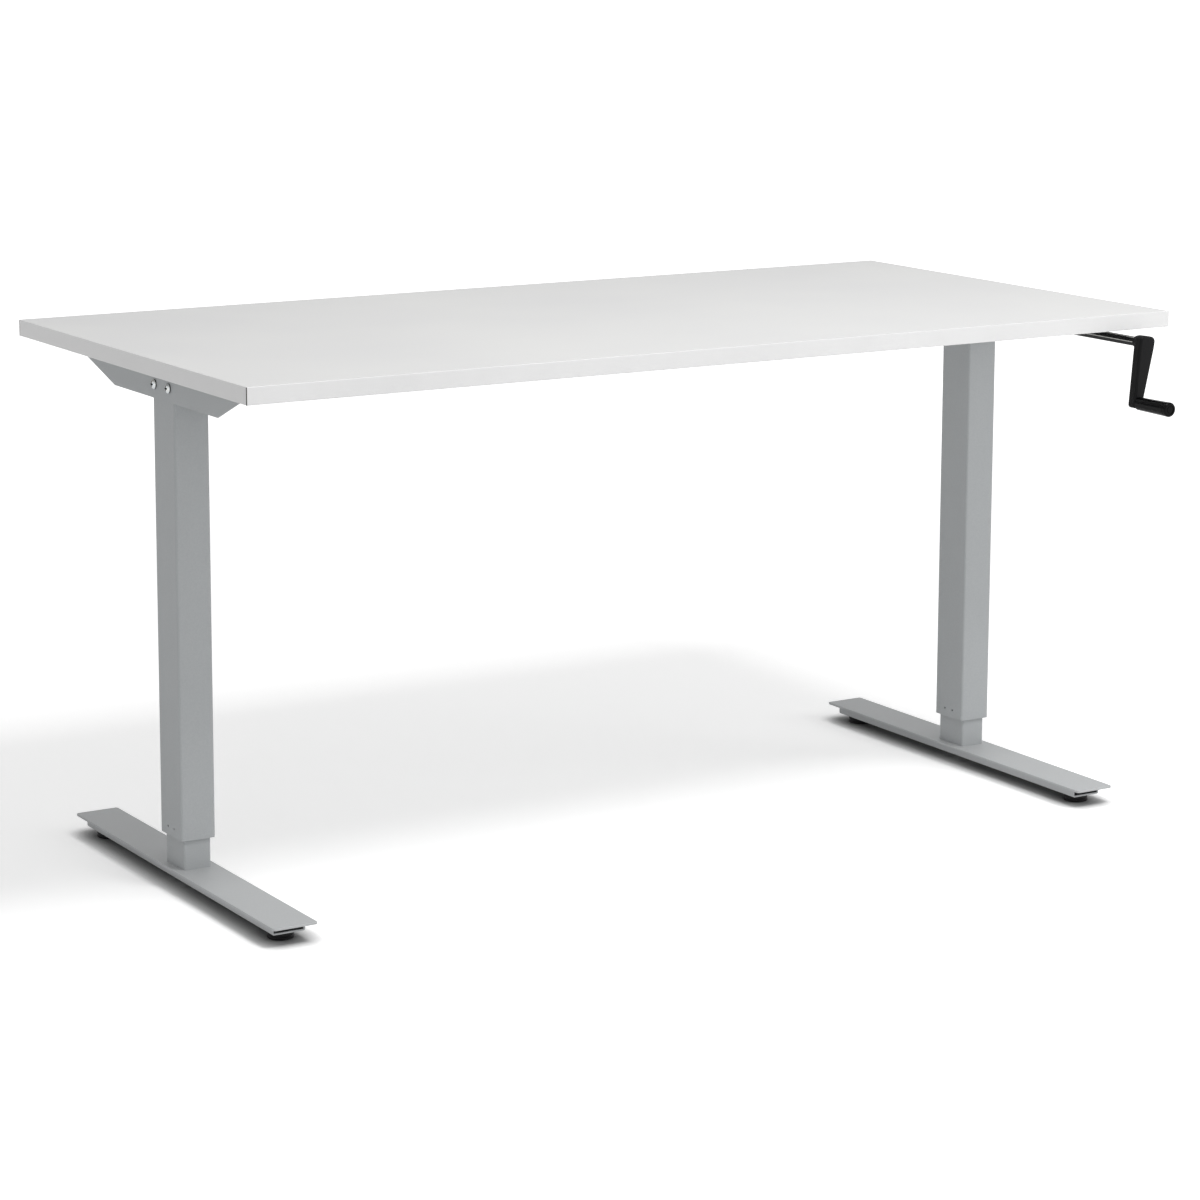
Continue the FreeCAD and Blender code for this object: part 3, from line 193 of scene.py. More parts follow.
def new_finish(name, colour, **values):
    """A material whose constant values sit on the shader's own sockets; returns its parts."""
    material = bpy.data.materials.new(name)
    material.use_nodes = True
    tree = material.node_tree
    shader = tree.nodes["Principled BSDF"]
    shader.inputs["Base Color"].default_value = linear(colour)
    for socket, value in values.items():
        shader.inputs[socket.replace("_", " ")].default_value = value
    return material, tree, shader


def grain(tree, size, detail=2, stretch=(1, 1, 1)):
    """Noise over the piece, with features of a size in metres, drawn out along an axis."""
    where = add_node(tree, "TexCoord").outputs["Object"]
    placed = add_node(tree, "Mapping", {"Vector": where, "Scale": stretch})
    noise = add_node(tree, "TexNoise", {"Vector": placed.outputs[0], "Scale": 1 / size,
                                        "Detail": detail, "Roughness": 0.55})
    return noise.outputs["Fac"]


def tint(tree, shader, factor, dark, light, low=0.3, high=0.7):
    """Colour the surface between two hex colours as a factor runs from low to high."""
    ramp = add_node(tree, "ValToRGB", {0: factor})
    ramp.color_ramp.elements[0].position = low
    ramp.color_ramp.elements[0].color = linear(dark)
    ramp.color_ramp.elements[1].position = high
    ramp.color_ramp.elements[1].color = linear(light)
    tree.links.new(ramp.outputs[0], shader.inputs["Base Color"])


def vary_gloss(tree, shader, factor, low, high):
    """Let the roughness follow a factor between two values."""
    spread = add_node(tree, "MapRange", {0: factor, 3: low, 4: high})
    tree.links.new(spread.outputs[0], shader.inputs["Roughness"])


def relief(tree, shader, height, depth, strength):
    """Raise the surface by a height field, depth being its real height in metres."""
    bump = add_node(tree, "Bump", {"Height": height, "Distance": depth, "Strength": strength})
    tree.links.new(bump.outputs[0], shader.inputs["Normal"])


def make_melamine():
    material, tree, shader = new_finish("melamine_faced_board", "#D6D6D6", IOR=1.45,
                                        Specular_IOR_Level=0.15)
    tint(tree, shader, grain(tree, 350 * MM), "#D4D4D4", "#D8D8D7")
    # The real pearl is about 1 mm across; 2.5 mm is as fine as shows at this distance.
    pearl = grain(tree, 2.5 * MM, detail=1)
    vary_gloss(tree, shader, pearl, low=0.6, high=0.72)
    relief(tree, shader, pearl, depth=0.02 * MM, strength=0.6)
    return material


def dress(finish, *node_names):
    """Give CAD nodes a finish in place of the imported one."""
    for name in node_names:
        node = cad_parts[name]
        for slot in node.material_slots:
            slot.material = finish


dress(make_melamine(), "worktop_board")


# ---- Edge bands: 2 mm ABS strips glued to the board's four edges, trimmed flush and scraped to
# a small radius. The side strips butt against the front and rear ones, whose sawn ends are dull
# and painted dark as shade for the joint, so a fine dark line stands at each corner.

def only_selected(piece):
    bpy.ops.object.select_all(action="DESELECT")
    piece.select_set(True)
    bpy.context.view_layer.objects.active = piece


def settle(piece, place=None):
    """Put a piece in place, if one is given, and move its place into its mesh."""
    if place:
        piece.matrix_world = place
    only_selected(piece)
    bpy.ops.object.transform_apply(location=True, rotation=True, scale=True)
    return piece


def block(name, low, high):
    """A cube stretched between two corners."""
    bpy.ops.object.select_all(action="DESELECT")
    middle, size = (Vector(low) + Vector(high)) / 2, Vector(high) - Vector(low)
    bpy.ops.mesh.primitive_cube_add(size=1, location=middle, scale=size)
    piece = bpy.context.object
    piece.name = name
    return settle(piece)


def pick(piece, kind, test):
    """In edit mode, leave selected just the vertices, edges or faces that pass a test."""
    bpy.ops.mesh.select_mode(type=kind)
    bpy.ops.mesh.select_all(action="DESELECT")
    mesh = bmesh.from_edit_mesh(piece.data)
    for item in {"VERT": mesh.verts, "EDGE": mesh.edges, "FACE": mesh.faces}[kind]:
        if test(item):
            item.select_set(True)
    bmesh.update_edit_mesh(piece.data)


def middle_of(edge):
    return (edge.verts[0].co + edge.verts[1].co) / 2


def runs_along(edge, axis):
    """True for a straight edge along axis 0, 1 or 2."""
    along = edge.verts[1].co - edge.verts[0].co
    return abs(along[axis]) > 0.999 * along.length


def is_sharp(edge, least=1.0):
    """True where two faces meet at more than an angle, in radians."""
    return edge.is_manifold and edge.calc_face_angle() > least


def round_picked(piece, test, radius, segments):
    """Round the edges that pass a test."""
    bpy.ops.object.mode_set(mode="EDIT")
    pick(piece, "EDGE", test)
    bpy.ops.mesh.bevel(offset=radius, segments=segments, profile=0.5, affect="EDGES")
    bpy.ops.object.mode_set(mode="OBJECT")


def smooth(piece, degrees=40):
    """Smooth shading that leaves the flat faces flat."""
    only_selected(piece)
    bpy.ops.object.shade_smooth_by_angle(angle=math.radians(degrees))
    bpy.ops.object.modifier_add(type="WEIGHTED_NORMAL")
    piece.modifiers[-1].keep_sharp = True
    bpy.ops.object.modifier_apply(modifier=piece.modifiers[-1].name)


def fit(piece, body, slot, finish, *replaced):
    """Finish a piece: smooth it, give it its finish and let it ride on its body."""
    smooth(piece)
    if not piece.data.materials:
        piece.data.materials.append(finish)
    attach(piece, body)
    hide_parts(*replaced)


def make_abs_banding():
    material, tree, shader = new_finish("abs_edge_banding", "#DADADA", IOR=1.52)
    # The strip's print is even; only its gloss wanders, over a hand's width.
    drift = grain(tree, 90 * MM)
    tint(tree, shader, drift, "#D8D8D8", "#DDDDDD")
    vary_gloss(tree, shader, drift, low=0.34, high=0.46)
    relief(tree, shader, grain(tree, 2 * MM, detail=1), depth=0.01 * MM, strength=0.4)
    return material


def make_shaded_sawn_end():
    material, tree, shader = new_finish("sawn_band_end_painted_shade", "#4A4A48", IOR=1.45)
    # Torn plastic, dull and uneven; its dark colour is painted shade for the joint.
    torn_shaded_patches = grain(tree, 1.5 * MM, detail=3)
    tint(tree, shader, torn_shaded_patches, "#3C3C3B", "#585856")
    vary_gloss(tree, shader, torn_shaded_patches, low=0.55, high=0.75)
    return material


def show_sawn_ends(piece):
    """Give the two ends of a front or rear strip the look of cut plastic, painted dark as shade
    for the joint.
    """
    for face in piece.data.polygons:
        if abs(face.normal.x) > 0.5:
            face.material_index = 1


BAND_RADIUS, BROKEN_EDGE = 0.8 * MM, 0.2 * MM


def make_edge_band(end, across, outward, finish):
    """One strip; across is the axis that it faces along, and outward that face's sign."""
    low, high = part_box(f"edge_band_{end}")
    piece = block(f"abs_band_{end}", low, high)
    outer = (high if outward > 0 else low)[across]

    def on_outer_face(edge):
        return all(abs(v.co[across] - outer) < 1e-6 for v in edge.verts)

    round_picked(piece, on_outer_face, BAND_RADIUS, segments=4)
    round_picked(piece, is_sharp, BROKEN_EDGE, segments=2)
    piece.data.materials.append(finish)
    if across == 1:
        # The strip's two ends take painted shade, for the dark line at the joint.
        piece.data.materials.append(shaded_sawn_end)
        show_sawn_ends(piece)
    fit(piece, "upper_frame", "edge_band", finish, f"edge_band_{end}")


abs_banding = make_abs_banding()
shaded_sawn_end = make_shaded_sawn_end()
for band_end, band_axis, band_sign in (("front", 1, -1), ("rear", 1, 1),
                                       ("left", 0, -1), ("right", 0, 1)):
    make_edge_band(band_end, band_axis, band_sign, abs_banding)


# ---- Steel frame: folded support channels, the cross beam, the telescopic tubes and the feet,
# all powder coated in silver grey. The coat is thick, so it rounds the edges a little and dries
# with a faint orange peel; fine aluminium flake gives it a soft sheen.

def make_powder_coat(name, dark, light):
    material, tree, shader = new_finish(name, dark, IOR=1.5, Metallic=0.04,
                                        Specular_IOR_Level=0.3)
    # Flake is far under a millimetre; it is drawn 1.6 mm wide so that it still shows.
    flake = grain(tree, 1.6 * MM, detail=3)
    tint(tree, shader, flake, dark, light, 0.35, 0.65)
    peel = grain(tree, 3 * MM, detail=1)
    vary_gloss(tree, shader, grain(tree, 40 * MM), low=0.5, high=0.58)
    relief(tree, shader, peel, depth=0.03 * MM, strength=0.5)
    return material


powder_coat = make_powder_coat("silver_powder_coat", "#AAADAF", "#AFB2B3")
# The feet take a copy of the same coat, a shade lighter as painted light.
foot_coat_painted_lighter = make_powder_coat("silver_foot_coat_painted_lighter", "#B2B4B5", "#B6B8B9")
SIDES = ("left", "right")
ENDS = ("front", "rear")
for side in SIDES:
    dress(powder_coat, f"support_channel_{side}", f"outer_tube_{side}", f"inner_tube_{side}")
    # The feet take the lighter copy of the coat, which is painted light.
    dress(foot_coat_painted_lighter, f"foot_plate_{side}", f"foot_channel_{side}")
dress(powder_coat, "cross_beam")


# ---- Sliding guides and lead nuts: moulded acetal. The guides are black, and the two pegs of
# each lower one show as dark dots near the outer tube's mouth. The nuts are natural white.

def make_acetal(name, dark, light):
    material, tree, shader = new_finish(name, dark, Specular_IOR_Level=0.4)
    # The melt leaves faint swirls in it, and the mould a waxy half gloss.
    swirl = grain(tree, 6 * MM, detail=3)
    tint(tree, shader, swirl, dark, light)
    vary_gloss(tree, shader, swirl, low=0.34, high=0.46)
    relief(tree, shader, grain(tree, 0.8 * MM), depth=0.01 * MM, strength=0.5)
    return material


black_acetal = make_acetal("black_acetal", "#141415", "#1D1D1F")
white_acetal = make_acetal("natural_acetal", "#DEDBD0", "#E9E7DE")
for side in SIDES:
    dress(black_acetal, f"lower_guide_{side}", f"upper_guide_{side}")
    dress(white_acetal, f"lead_nut_{side}")


# ---- Column bolts: domed M6 machine screws in bright zinc, with a cross recess, through the
# support channel and the column into the gearbox. Each has a spring washer under its head;
# the washer and the inside of the cross recess are painted black as painted shade.

def turned(name, points, steps=40):
    """Extrude a half profile of radius and height points, then spin it once round Z."""
    bpy.ops.object.select_all(action="DESELECT")
    bpy.ops.mesh.primitive_plane_add(size=MM)
    piece = bpy.context.object
    piece.name = name
    bpy.ops.object.mode_set(mode="EDIT")
    bpy.ops.mesh.select_mode(type="VERT")
    bpy.ops.mesh.select_all(action="SELECT")
    bpy.ops.mesh.merge(type="CENTER")
    bpy.ops.transform.translate(value=(points[0][0], 0, points[0][1]))
    for (r0, z0), (r1, z1) in zip(points, points[1:]):
        step = (r1 - r0, 0, z1 - z0)
        bpy.ops.mesh.extrude_region_move(TRANSFORM_OT_translate={"value": step})
    bpy.ops.mesh.select_all(action="SELECT")
    bpy.ops.mesh.spin(steps=steps, angle=math.tau, center=(0, 0, 0), axis=(0, 0, 1))
    bpy.ops.mesh.select_all(action="SELECT")
    bpy.ops.mesh.remove_doubles(threshold=2e-6)
    bpy.ops.mesh.normals_make_consistent(inside=False)
    bpy.ops.object.mode_set(mode="OBJECT")
    return piece


def arc(centre_r, centre_z, radius, start, stop, count=6):
    """Profile points round a centre, from one angle to another in degrees."""
    points = []
    for i in range(count + 1):
        angle = math.radians(start + (stop - start) * i / count)
        points.append((centre_r + radius * math.cos(angle), centre_z + radius * math.sin(angle)))
    return points


def combine(piece, tool, operation):
    """Cut one piece from another, or join it on, by a Boolean modifier that is applied."""
    only_selected(piece)
    bpy.ops.object.modifier_add(type="BOOLEAN")
    modifier = piece.modifiers[-1]
    modifier.operation = operation
    modifier.solver = "EXACT"
    modifier.object = tool
    bpy.ops.object.modifier_apply(modifier=modifier.name)
    bpy.data.objects.remove(tool, do_unlink=True)


def cut_cross(piece, top, reach, width, depth):
    """Sink a cross recess into the top of a screw head that points along +Z."""
    taper = 0.6
    for reach_x, reach_y in ((reach, width / 2), (width / 2, reach)):
        slot = block("slot", (-reach_x, -reach_y, top - depth), (reach_x, reach_y, top + MM))
        bpy.ops.object.mode_set(mode="EDIT")
        pick(slot, "FACE", lambda face: face.normal.z < -0.9)
        bpy.ops.transform.resize(value=(taper, taper, 1), center_override=(0, 0, top - depth))
        bpy.ops.object.mode_set(mode="OBJECT")
        combine(piece, slot, "DIFFERENCE")


def copies(pattern, name, places):
    """Copy a modelled piece to each placement matrix and join the copies into one object."""
    made = []
    for place in places:
        copy = pattern.copy()
        copy.data = pattern.data.copy()
        scene.collection.objects.link(copy)
        made.append(settle(copy, place))
    bpy.data.objects.remove(pattern, do_unlink=True)
    bpy.ops.object.select_all(action="DESELECT")
    for copy in made:
        copy.select_set(True)
    bpy.context.view_layer.objects.active = made[0]
    if len(made) > 1:
        bpy.ops.object.join()
    made[0].name = name
    return made[0]


def make_zinc():
    material, tree, shader = new_finish("bright_zinc_plate", "#CDD1D4", Metallic=1.0)
    # Passivated zinc shows faint patches, slightly blue in places and slightly yellow in others.
    patches = grain(tree, 5 * MM)
    tint(tree, shader, patches, "#C8CED3", "#D6D5CD")
    vary_gloss(tree, shader, patches, low=0.14, high=0.24)
    return material


def make_black_oxide():
    material, tree, shader = new_finish("black_oxide_steel_and_painted_shade", "#090909", Metallic=0.1,
                                        Specular_IOR_Level=0.12)
    # Hot blacking leaves a thin dark skin, a little oily, with a narrow sheen.
    skin = grain(tree, 4 * MM, detail=3)
    tint(tree, shader, skin, "#070708", "#0C0C0D")
    vary_gloss(tree, shader, skin, low=0.18, high=0.28)
    return material


HEAD_RADIUS, HEAD_HEIGHT, SHANK_RADIUS = 6.5 * MM, 5 * MM, 3 * MM
WASHER, RIM, CROSS_REACH = 1.3 * MM, 0.7 * MM, 4.4 * MM


def model_bolt(length):
    """A bolt whose washer bears at z = 0 and points along +Z, with its shank below."""
    crown = HEAD_HEIGHT - RIM - WASHER
    dome = (HEAD_RADIUS ** 2 + crown ** 2) / (2 * crown)
    lowest = math.degrees(math.asin((dome - crown) / dome))
    points = [(0, -length), (SHANK_RADIUS * 0.7, -length), (SHANK_RADIUS, MM - length),
              (SHANK_RADIUS, 0), (HEAD_RADIUS - 0.7 * MM, 0), (HEAD_RADIUS - 0.4 * MM, 0.3 * MM),
              (HEAD_RADIUS - 0.4 * MM, WASHER - 0.3 * MM), (HEAD_RADIUS - 0.8 * MM, WASHER),
              (HEAD_RADIUS - 0.2 * MM, WASHER), (HEAD_RADIUS, WASHER + 0.2 * MM)]
    points += arc(0, HEAD_HEIGHT - dome, dome, lowest, 90, 8)
    bolt = turned("bolt_pattern", points)
    cut_cross(bolt, HEAD_HEIGHT, CROSS_REACH, width=2.6 * MM, depth=2.6 * MM)
    bolt.data.materials.append(zinc)
    bolt.data.materials.append(black_oxide)
    # The washer and the inside of the cross recess take the black finish, as painted shade.
    for face in bolt.data.polygons:
        reach = math.hypot(face.center.x, face.center.y)
        washer = 0 <= face.center.z < WASHER + 1e-6 and reach > SHANK_RADIUS
        sunk = face.normal.z < 0.75 or face.center.z < HEAD_HEIGHT - 2 * MM
        recess = reach < CROSS_REACH - 0.1 * MM and face.center.z > 0 and sunk
        face.material_index = int(washer or recess)
    return bolt


def place_column_bolts():
    """Eight bolts: two through each wall of each support channel."""
    low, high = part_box("column_bolts")
    level = (low.z + high.z) / 2
    front, rear = low.y + HEAD_RADIUS, high.y - HEAD_RADIUS
    outer_seat = high.x - HEAD_HEIGHT
    flange = 3 * MM
    inner_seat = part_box("cross_beam")[1].x - flange
    places = []
    for seat, facing in ((outer_seat, 1), (inner_seat, -1)):
        for sign in (-1, 1):
            for y in (front, rear):
                turn = Matrix.Rotation(math.pi / 2 * facing * sign, 4, "Y")
                places.append(Matrix.Translation((seat * sign, y, level)) @ turn)
    return places


zinc = make_zinc()
black_oxide = make_black_oxide()
fit(copies(model_bolt(length=16 * MM), "domed_column_bolts", place_column_bolts()),
    "upper_frame", "zinc", zinc, "column_bolts")


# ---- Worktop screws: pan-head chipboard screws in bright zinc, driven up through the support
# channels' webs. The heads show from below, inside the channels.

PAN_RADIUS, PAN_HEIGHT, PAN_ROUNDING, SCREW_RADIUS = 4.5 * MM, 3 * MM, 1.6 * MM, 2.25 * MM


def model_pan_screw(length):
    """A screw whose head bears at z = 0 and points along +Z; a coarse thread runs to its tip."""
    points = [(0, -length)]
    pitch, root = 2 * MM, SCREW_RADIUS * 0.68
    for i in range(int(length / pitch) - 1):
        z = -length + pitch * (i + 1)
        points += [(root, z - pitch * 0.35), (SCREW_RADIUS, z), (root, z + pitch * 0.35)]
    points += [(SCREW_RADIUS * 0.9, -0.4 * MM), (SCREW_RADIUS * 0.9, 0), (PAN_RADIUS, 0)]
    points += arc(PAN_RADIUS - PAN_ROUNDING, PAN_HEIGHT - PAN_ROUNDING, PAN_ROUNDING, 0, 90, 5)
    points.append((0, PAN_HEIGHT))
    screw = turned("screw_pattern", points, 24)
    cut_cross(screw, PAN_HEIGHT, reach=2.2 * MM, width=MM, depth=1.8 * MM)
    return screw


def place_worktop_screws():
    """Eight screws for each channel: two rows of four, both ends alike."""
    low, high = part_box("worktop_screws")
    seat = low.z + PAN_HEIGHT
    middle_y = (low.y + high.y) / 2
    far = (high.y - low.y) / 2 - PAN_RADIUS
    near, beside = 110 * MM, 14 * MM
    column = (high.x - low.x) / 2 - PAN_RADIUS - beside
    over = Matrix.Rotation(math.pi, 4, "X")
    return [Matrix.Translation((column * side + beside * row, middle_y + reach, seat)) @ over
            for side in (-1, 1) for row in (-1, 1) for reach in (-far, -near, near, far)]


fit(copies(model_pan_screw(length=16 * MM), "pan_head_screws", place_worktop_screws()),
    "upper_frame", "zinc", zinc, "worktop_screws")


# ---- Feet: black moulded plugs close the ends of each foot channel. Bolts and weld nuts in
# bright zinc hold the column and the levelling studs.

def make_black_moulding():
    material, tree, shader = new_finish("black_moulded_plastic", "#0E0E0F",
                                        Specular_IOR_Level=0.3)
    # A spark-eroded mould gives it pits about 1 mm wide, and so an even, dull black.
    pitting = grain(tree, MM, detail=2)
    tint(tree, shader, pitting, "#0B0B0C", "#131315")
    vary_gloss(tree, shader, pitting, low=0.4, high=0.55)
    relief(tree, shader, pitting, depth=0.02 * MM, strength=0.7)
    return material


PLUG_GAP, PLUG_WALL, PLUG_SUNK, PLUG_RADIUS = 0.15 * MM, 1.6 * MM, 6 * MM, 0.35 * MM
RIB_SPREAD, RIB_HALF, RIB_INSET = 6.5 * MM, 0.7 * MM, 0.8 * MM


def make_foot_insert(end, side, finish):
    """A plug with a sunk outer face, stiffened by two upright ribs."""
    name = f"foot_insert_{end}_{side}"
    low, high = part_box(name)
    outward = -1 if end == "front" else 1
    piece = block(f"channel_plug_{end}_{side}", low + Vector((PLUG_GAP, 0, 0)),
                  high - Vector((PLUG_GAP, 0, PLUG_GAP)))
    bpy.ops.object.mode_set(mode="EDIT")
    pick(piece, "FACE", lambda face: face.normal.y * outward > 0.9)
    bpy.ops.mesh.inset(thickness=PLUG_WALL)
    bpy.ops.mesh.extrude_region_move(
        TRANSFORM_OT_translate={"value": (0, -outward * PLUG_SUNK, 0)})
    bpy.ops.object.mode_set(mode="OBJECT")
    round_picked(piece, is_sharp, PLUG_RADIUS, segments=2)
    face_y = (low if outward < 0 else high).y
    front, back = sorted((face_y - outward * RIB_INSET, face_y - outward * (PLUG_SUNK + MM)))
    for third in (-1, 1):
        x = (low.x + high.x) / 2 + third * RIB_SPREAD
        rib = block("rib", (x - RIB_HALF, front, low.z + MM), (x + RIB_HALF, back, high.z - MM))
        combine(piece, rib, "UNION")
    fit(piece, f"{side}_base", "black_plastic", finish, name)


black_moulding = make_black_moulding()
for side in SIDES:
    for end in ENDS:
        make_foot_insert(end, side, black_moulding)
    dress(zinc, f"base_bolts_{side}", f"weld_nuts_{side}")


# ---- Levelling glides: a hard black pad moulded round the head of a zinc-plated stud. The pad
# has a rolled lower rim, a waist and a gripping edge with shallow flutes.

def make_pad_moulding():
    material, tree, shader = new_finish("glide_pad_moulding", "#101011",
                                        Specular_IOR_Level=0.3)
    # Floors scuff it in patches about 2 mm wide, which are greyer and duller than the rest.
    scuff = grain(tree, 2 * MM, detail=3)
    tint(tree, shader, scuff, "#0E0E0F", "#19191B")
    vary_gloss(tree, shader, scuff, low=0.45, high=0.62)
    relief(tree, shader, scuff, depth=0.02 * MM, strength=0.6)
    return material


FLUTES, FLUTE_DEPTH = 24, 0.27 * MM
PAD_BORE, PAD_FLOOR, LOWER_ROUNDING, UPPER_ROUNDING = 4.05 * MM, 3 * MM, 2 * MM, 1.5 * MM


def make_glide(end, side, pad_finish):
    """A pad with its waist and flutes; the stud in its bore keeps its CAD shape."""
    name = f"glide_pad_{end}_{side}"
    low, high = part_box(name)
    radius, height = (high.x - low.x) / 2, high.z - low.z
    waist, lip = radius - 0.9 * MM, radius - 0.2 * MM
    points = [(0, 0)]
    points += arc(radius - LOWER_ROUNDING, LOWER_ROUNDING, LOWER_ROUNDING, 270, 360, 6)
    points += [(radius, 3.2 * MM), (waist, 3.9 * MM), (waist, 4.6 * MM), (lip, 5.4 * MM)]
    points += arc(lip - UPPER_ROUNDING, height - UPPER_ROUNDING, UPPER_ROUNDING, 0, 90, 5)
    points += [(PAD_BORE + 0.4 * MM, height), (PAD_BORE, height - 0.4 * MM)]
    points += [(PAD_BORE, PAD_FLOOR), (0, PAD_FLOOR)]
    pad = turned(f"glide_foot_{end}_{side}", points, 3 * FLUTES)
    gripped_from, gripped_above = radius - 1.2 * MM, 5 * MM

    def in_flute(vertex):
        reach = math.hypot(vertex.co.x, vertex.co.y)
        turn = math.atan2(vertex.co.y, vertex.co.x) * FLUTES
        return reach > gripped_from and vertex.co.z > gripped_above and math.cos(turn) < 0

    bpy.ops.object.mode_set(mode="EDIT")
    pick(pad, "VERT", in_flute)
    drawn_in = 1 - FLUTE_DEPTH / radius
    bpy.ops.transform.resize(value=(drawn_in, drawn_in, 1), center_override=(0, 0, 0))
    bpy.ops.object.mode_set(mode="OBJECT")
    settle(pad, Matrix.Translation(((low.x + high.x) / 2, (low.y + high.y) / 2, low.z)))
    fit(pad, f"glide_{end}_{side}", "rubber", pad_finish, name)
    dress(zinc, f"glide_stud_{end}_{side}")


pad_moulding = make_pad_moulding()
for side in SIDES:
    for end in ENDS:
        make_glide(end, side, pad_moulding)


# ---- Drive: die-cast gearboxes with sintered bevel gears, rolled steel lead screws on thrust
# bearings, and a ground hexagon cross shaft with a black oxide skin.

def make_casting():
    material, tree, shader = new_finish("zinc_die_casting", "#8F9193", Metallic=0.85)
    # The poured metal's flow shows as soft grey clouds, under a skin like fine sand.
    flow = grain(tree, 9 * MM, detail=4)
    tint(tree, shader, flow, "#85878A", "#989A9B")
    vary_gloss(tree, shader, flow, low=0.42, high=0.58)
    relief(tree, shader, grain(tree, 1.2 * MM), depth=0.03 * MM, strength=0.6)
    return material


def make_sintered_steel():
    material, tree, shader = new_finish("sintered_steel", "#6F6F70", Metallic=0.9)
    # Pressed powder looks dry and grey. Its pores are far finer than the 0.9 mm drawn here,
    # which is as coarse as they need to show.
    pores = grain(tree, 0.9 * MM, detail=3)
    tint(tree, shader, pores, "#5F5F60", "#7A7A7A", 0.35, 0.6)
    vary_gloss(tree, shader, pores, low=0.36, high=0.5)
    return material


def make_rolled_steel():
    material, tree, shader = new_finish("rolled_bright_steel_and_painted_highlight", "#A5A5A2", Metallic=1.0)
    # Rolling leaves it bright, with streaks 3 mm wide along the screw.
    streaks = grain(tree, 3 * MM, detail=3, stretch=(1, 1, 0.05))
    tint(tree, shader, streaks, "#9C9C99", "#AEAEAB")
    vary_gloss(tree, shader, streaks, low=0.24, high=0.36)
    return material


BAR_CHAMFER = 0.5 * MM


def hexagon_bar(name, start, end, across, corner):
    """Hexagon bar between two points on a line along X or Y, its corners and ends broken."""
    axis = 0 if abs(end.x - start.x) > abs(end.y - start.y) else 1
    bpy.ops.object.select_all(action="DESELECT")
    bpy.ops.mesh.primitive_cylinder_add(vertices=6, radius=across / math.sqrt(3),
                                        depth=(end - start).length)
    piece = bpy.context.object
    piece.name = name
    # A corner of the bar points sideways on the crank rod and upward on the cross shaft.
    first = Matrix.Rotation(math.pi / 6, 4, "Z")
    aim = Matrix.Rotation(math.pi / 2, 4, "X" if axis == 1 else "Y")
    settle(piece, Matrix.Translation((start + end) / 2) @ aim @ first)
    round_picked(piece, lambda e: runs_along(e, axis), corner, segments=3)
    round_picked(piece, is_sharp, BAR_CHAMFER, segments=1)
    return piece


def make_cross_shaft(finish):
    low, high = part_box("cross_shaft")
    middle = (low + high) / 2
    shaft = hexagon_bar("hexagon_cross_shaft", Vector((low.x, middle.y, middle.z)),
                        Vector((high.x, middle.y, middle.z)), across=10 * MM,
                        corner=0.45 * MM)
    fit(shaft, "cross_drive", "black_oxide", finish, "cross_shaft")


casting = make_casting()
sintered_steel = make_sintered_steel()
rolled_steel_and_painted_highlight = make_rolled_steel()
for side in SIDES:
    dress(casting, f"gearbox_housing_{side}", f"gearbox_cover_{side}")
    dress(sintered_steel, f"crown_gear_{side}", f"cross_pinion_{side}")
    dress(rolled_steel_and_painted_highlight, f"lead_screw_{side}", f"base_block_{side}")
dress(sintered_steel, "crank_pinion", "thrust_bearings")
make_cross_shaft(black_oxide)


# ---- Crank: a hexagon rod in a plastic bearing block, a cast arm with a satin black coat, and
# a glossy black grip that turns on a steel axle. The rod's corners are given bright steel as a
# painted highlight.

def make_satin_black():
    material, tree, shader = new_finish("satin_black_coat", "#111112",
                                        Specular_IOR_Level=0.1)
    # The coat follows the casting's faintly pebbled skin and has a soft sheen.
    skin = grain(tree, 1.5 * MM, detail=2)
    tint(tree, shader, skin, "#0C0C0D", "#131314")
    vary_gloss(tree, shader, skin, low=0.42, high=0.52)
    relief(tree, shader, skin, depth=0.03 * MM, strength=0.6)
    return material


def make_gloss_black():
    material, tree, shader = new_finish("polished_black_nylon", "#070708",
                                        Specular_IOR_Level=0.1)
    # A polished mould gives it a deep black with clear highlights.
    sheen = grain(tree, 14 * MM)
    tint(tree, shader, sheen, "#040405", "#070708")
    vary_gloss(tree, shader, sheen, low=0.1, high=0.16)
    return material


CRANK_LEAN = math.radians(9)
HEAD_WIDTH, TIP_WIDTH, ARM_LENGTH, ARM_THICK = 26 * MM, 14.5 * MM, 82 * MM, 15 * MM
CROWN, SHOULDER, COLLAR = 10 * MM, 6 * MM, 8 * MM
HEAD_CORNER, TIP_CORNER, ARM_ROUNDING = 7 * MM, 4 * MM, 3.5 * MM
ROD_ACROSS, SPIGOT_ACROSS, ROD_CORNER, PINION_GAP = 12 * MM, 10 * MM, 0.7 * MM, 0.5 * MM
GRIP_GAP, GRIP_LENGTH, GRIP_RADIUS, GRIP_ROUNDING = 0.3 * MM, 64 * MM, 10 * MM, 2.3 * MM


def show_highlit_corners(rod):
    """Give the faces between the bar's six flats bright steel, as a painted highlight along the
    corners.
    """
    rod.data.materials.append(black_oxide)
    rod.data.materials.append(rolled_steel_and_painted_highlight)
    for face in rod.data.polygons:
        off_flat = abs(math.degrees(math.atan2(face.normal.z, face.normal.x)) % 60 - 30)
        face.material_index = int(off_flat > 5 and abs(face.normal.y) < 0.1)


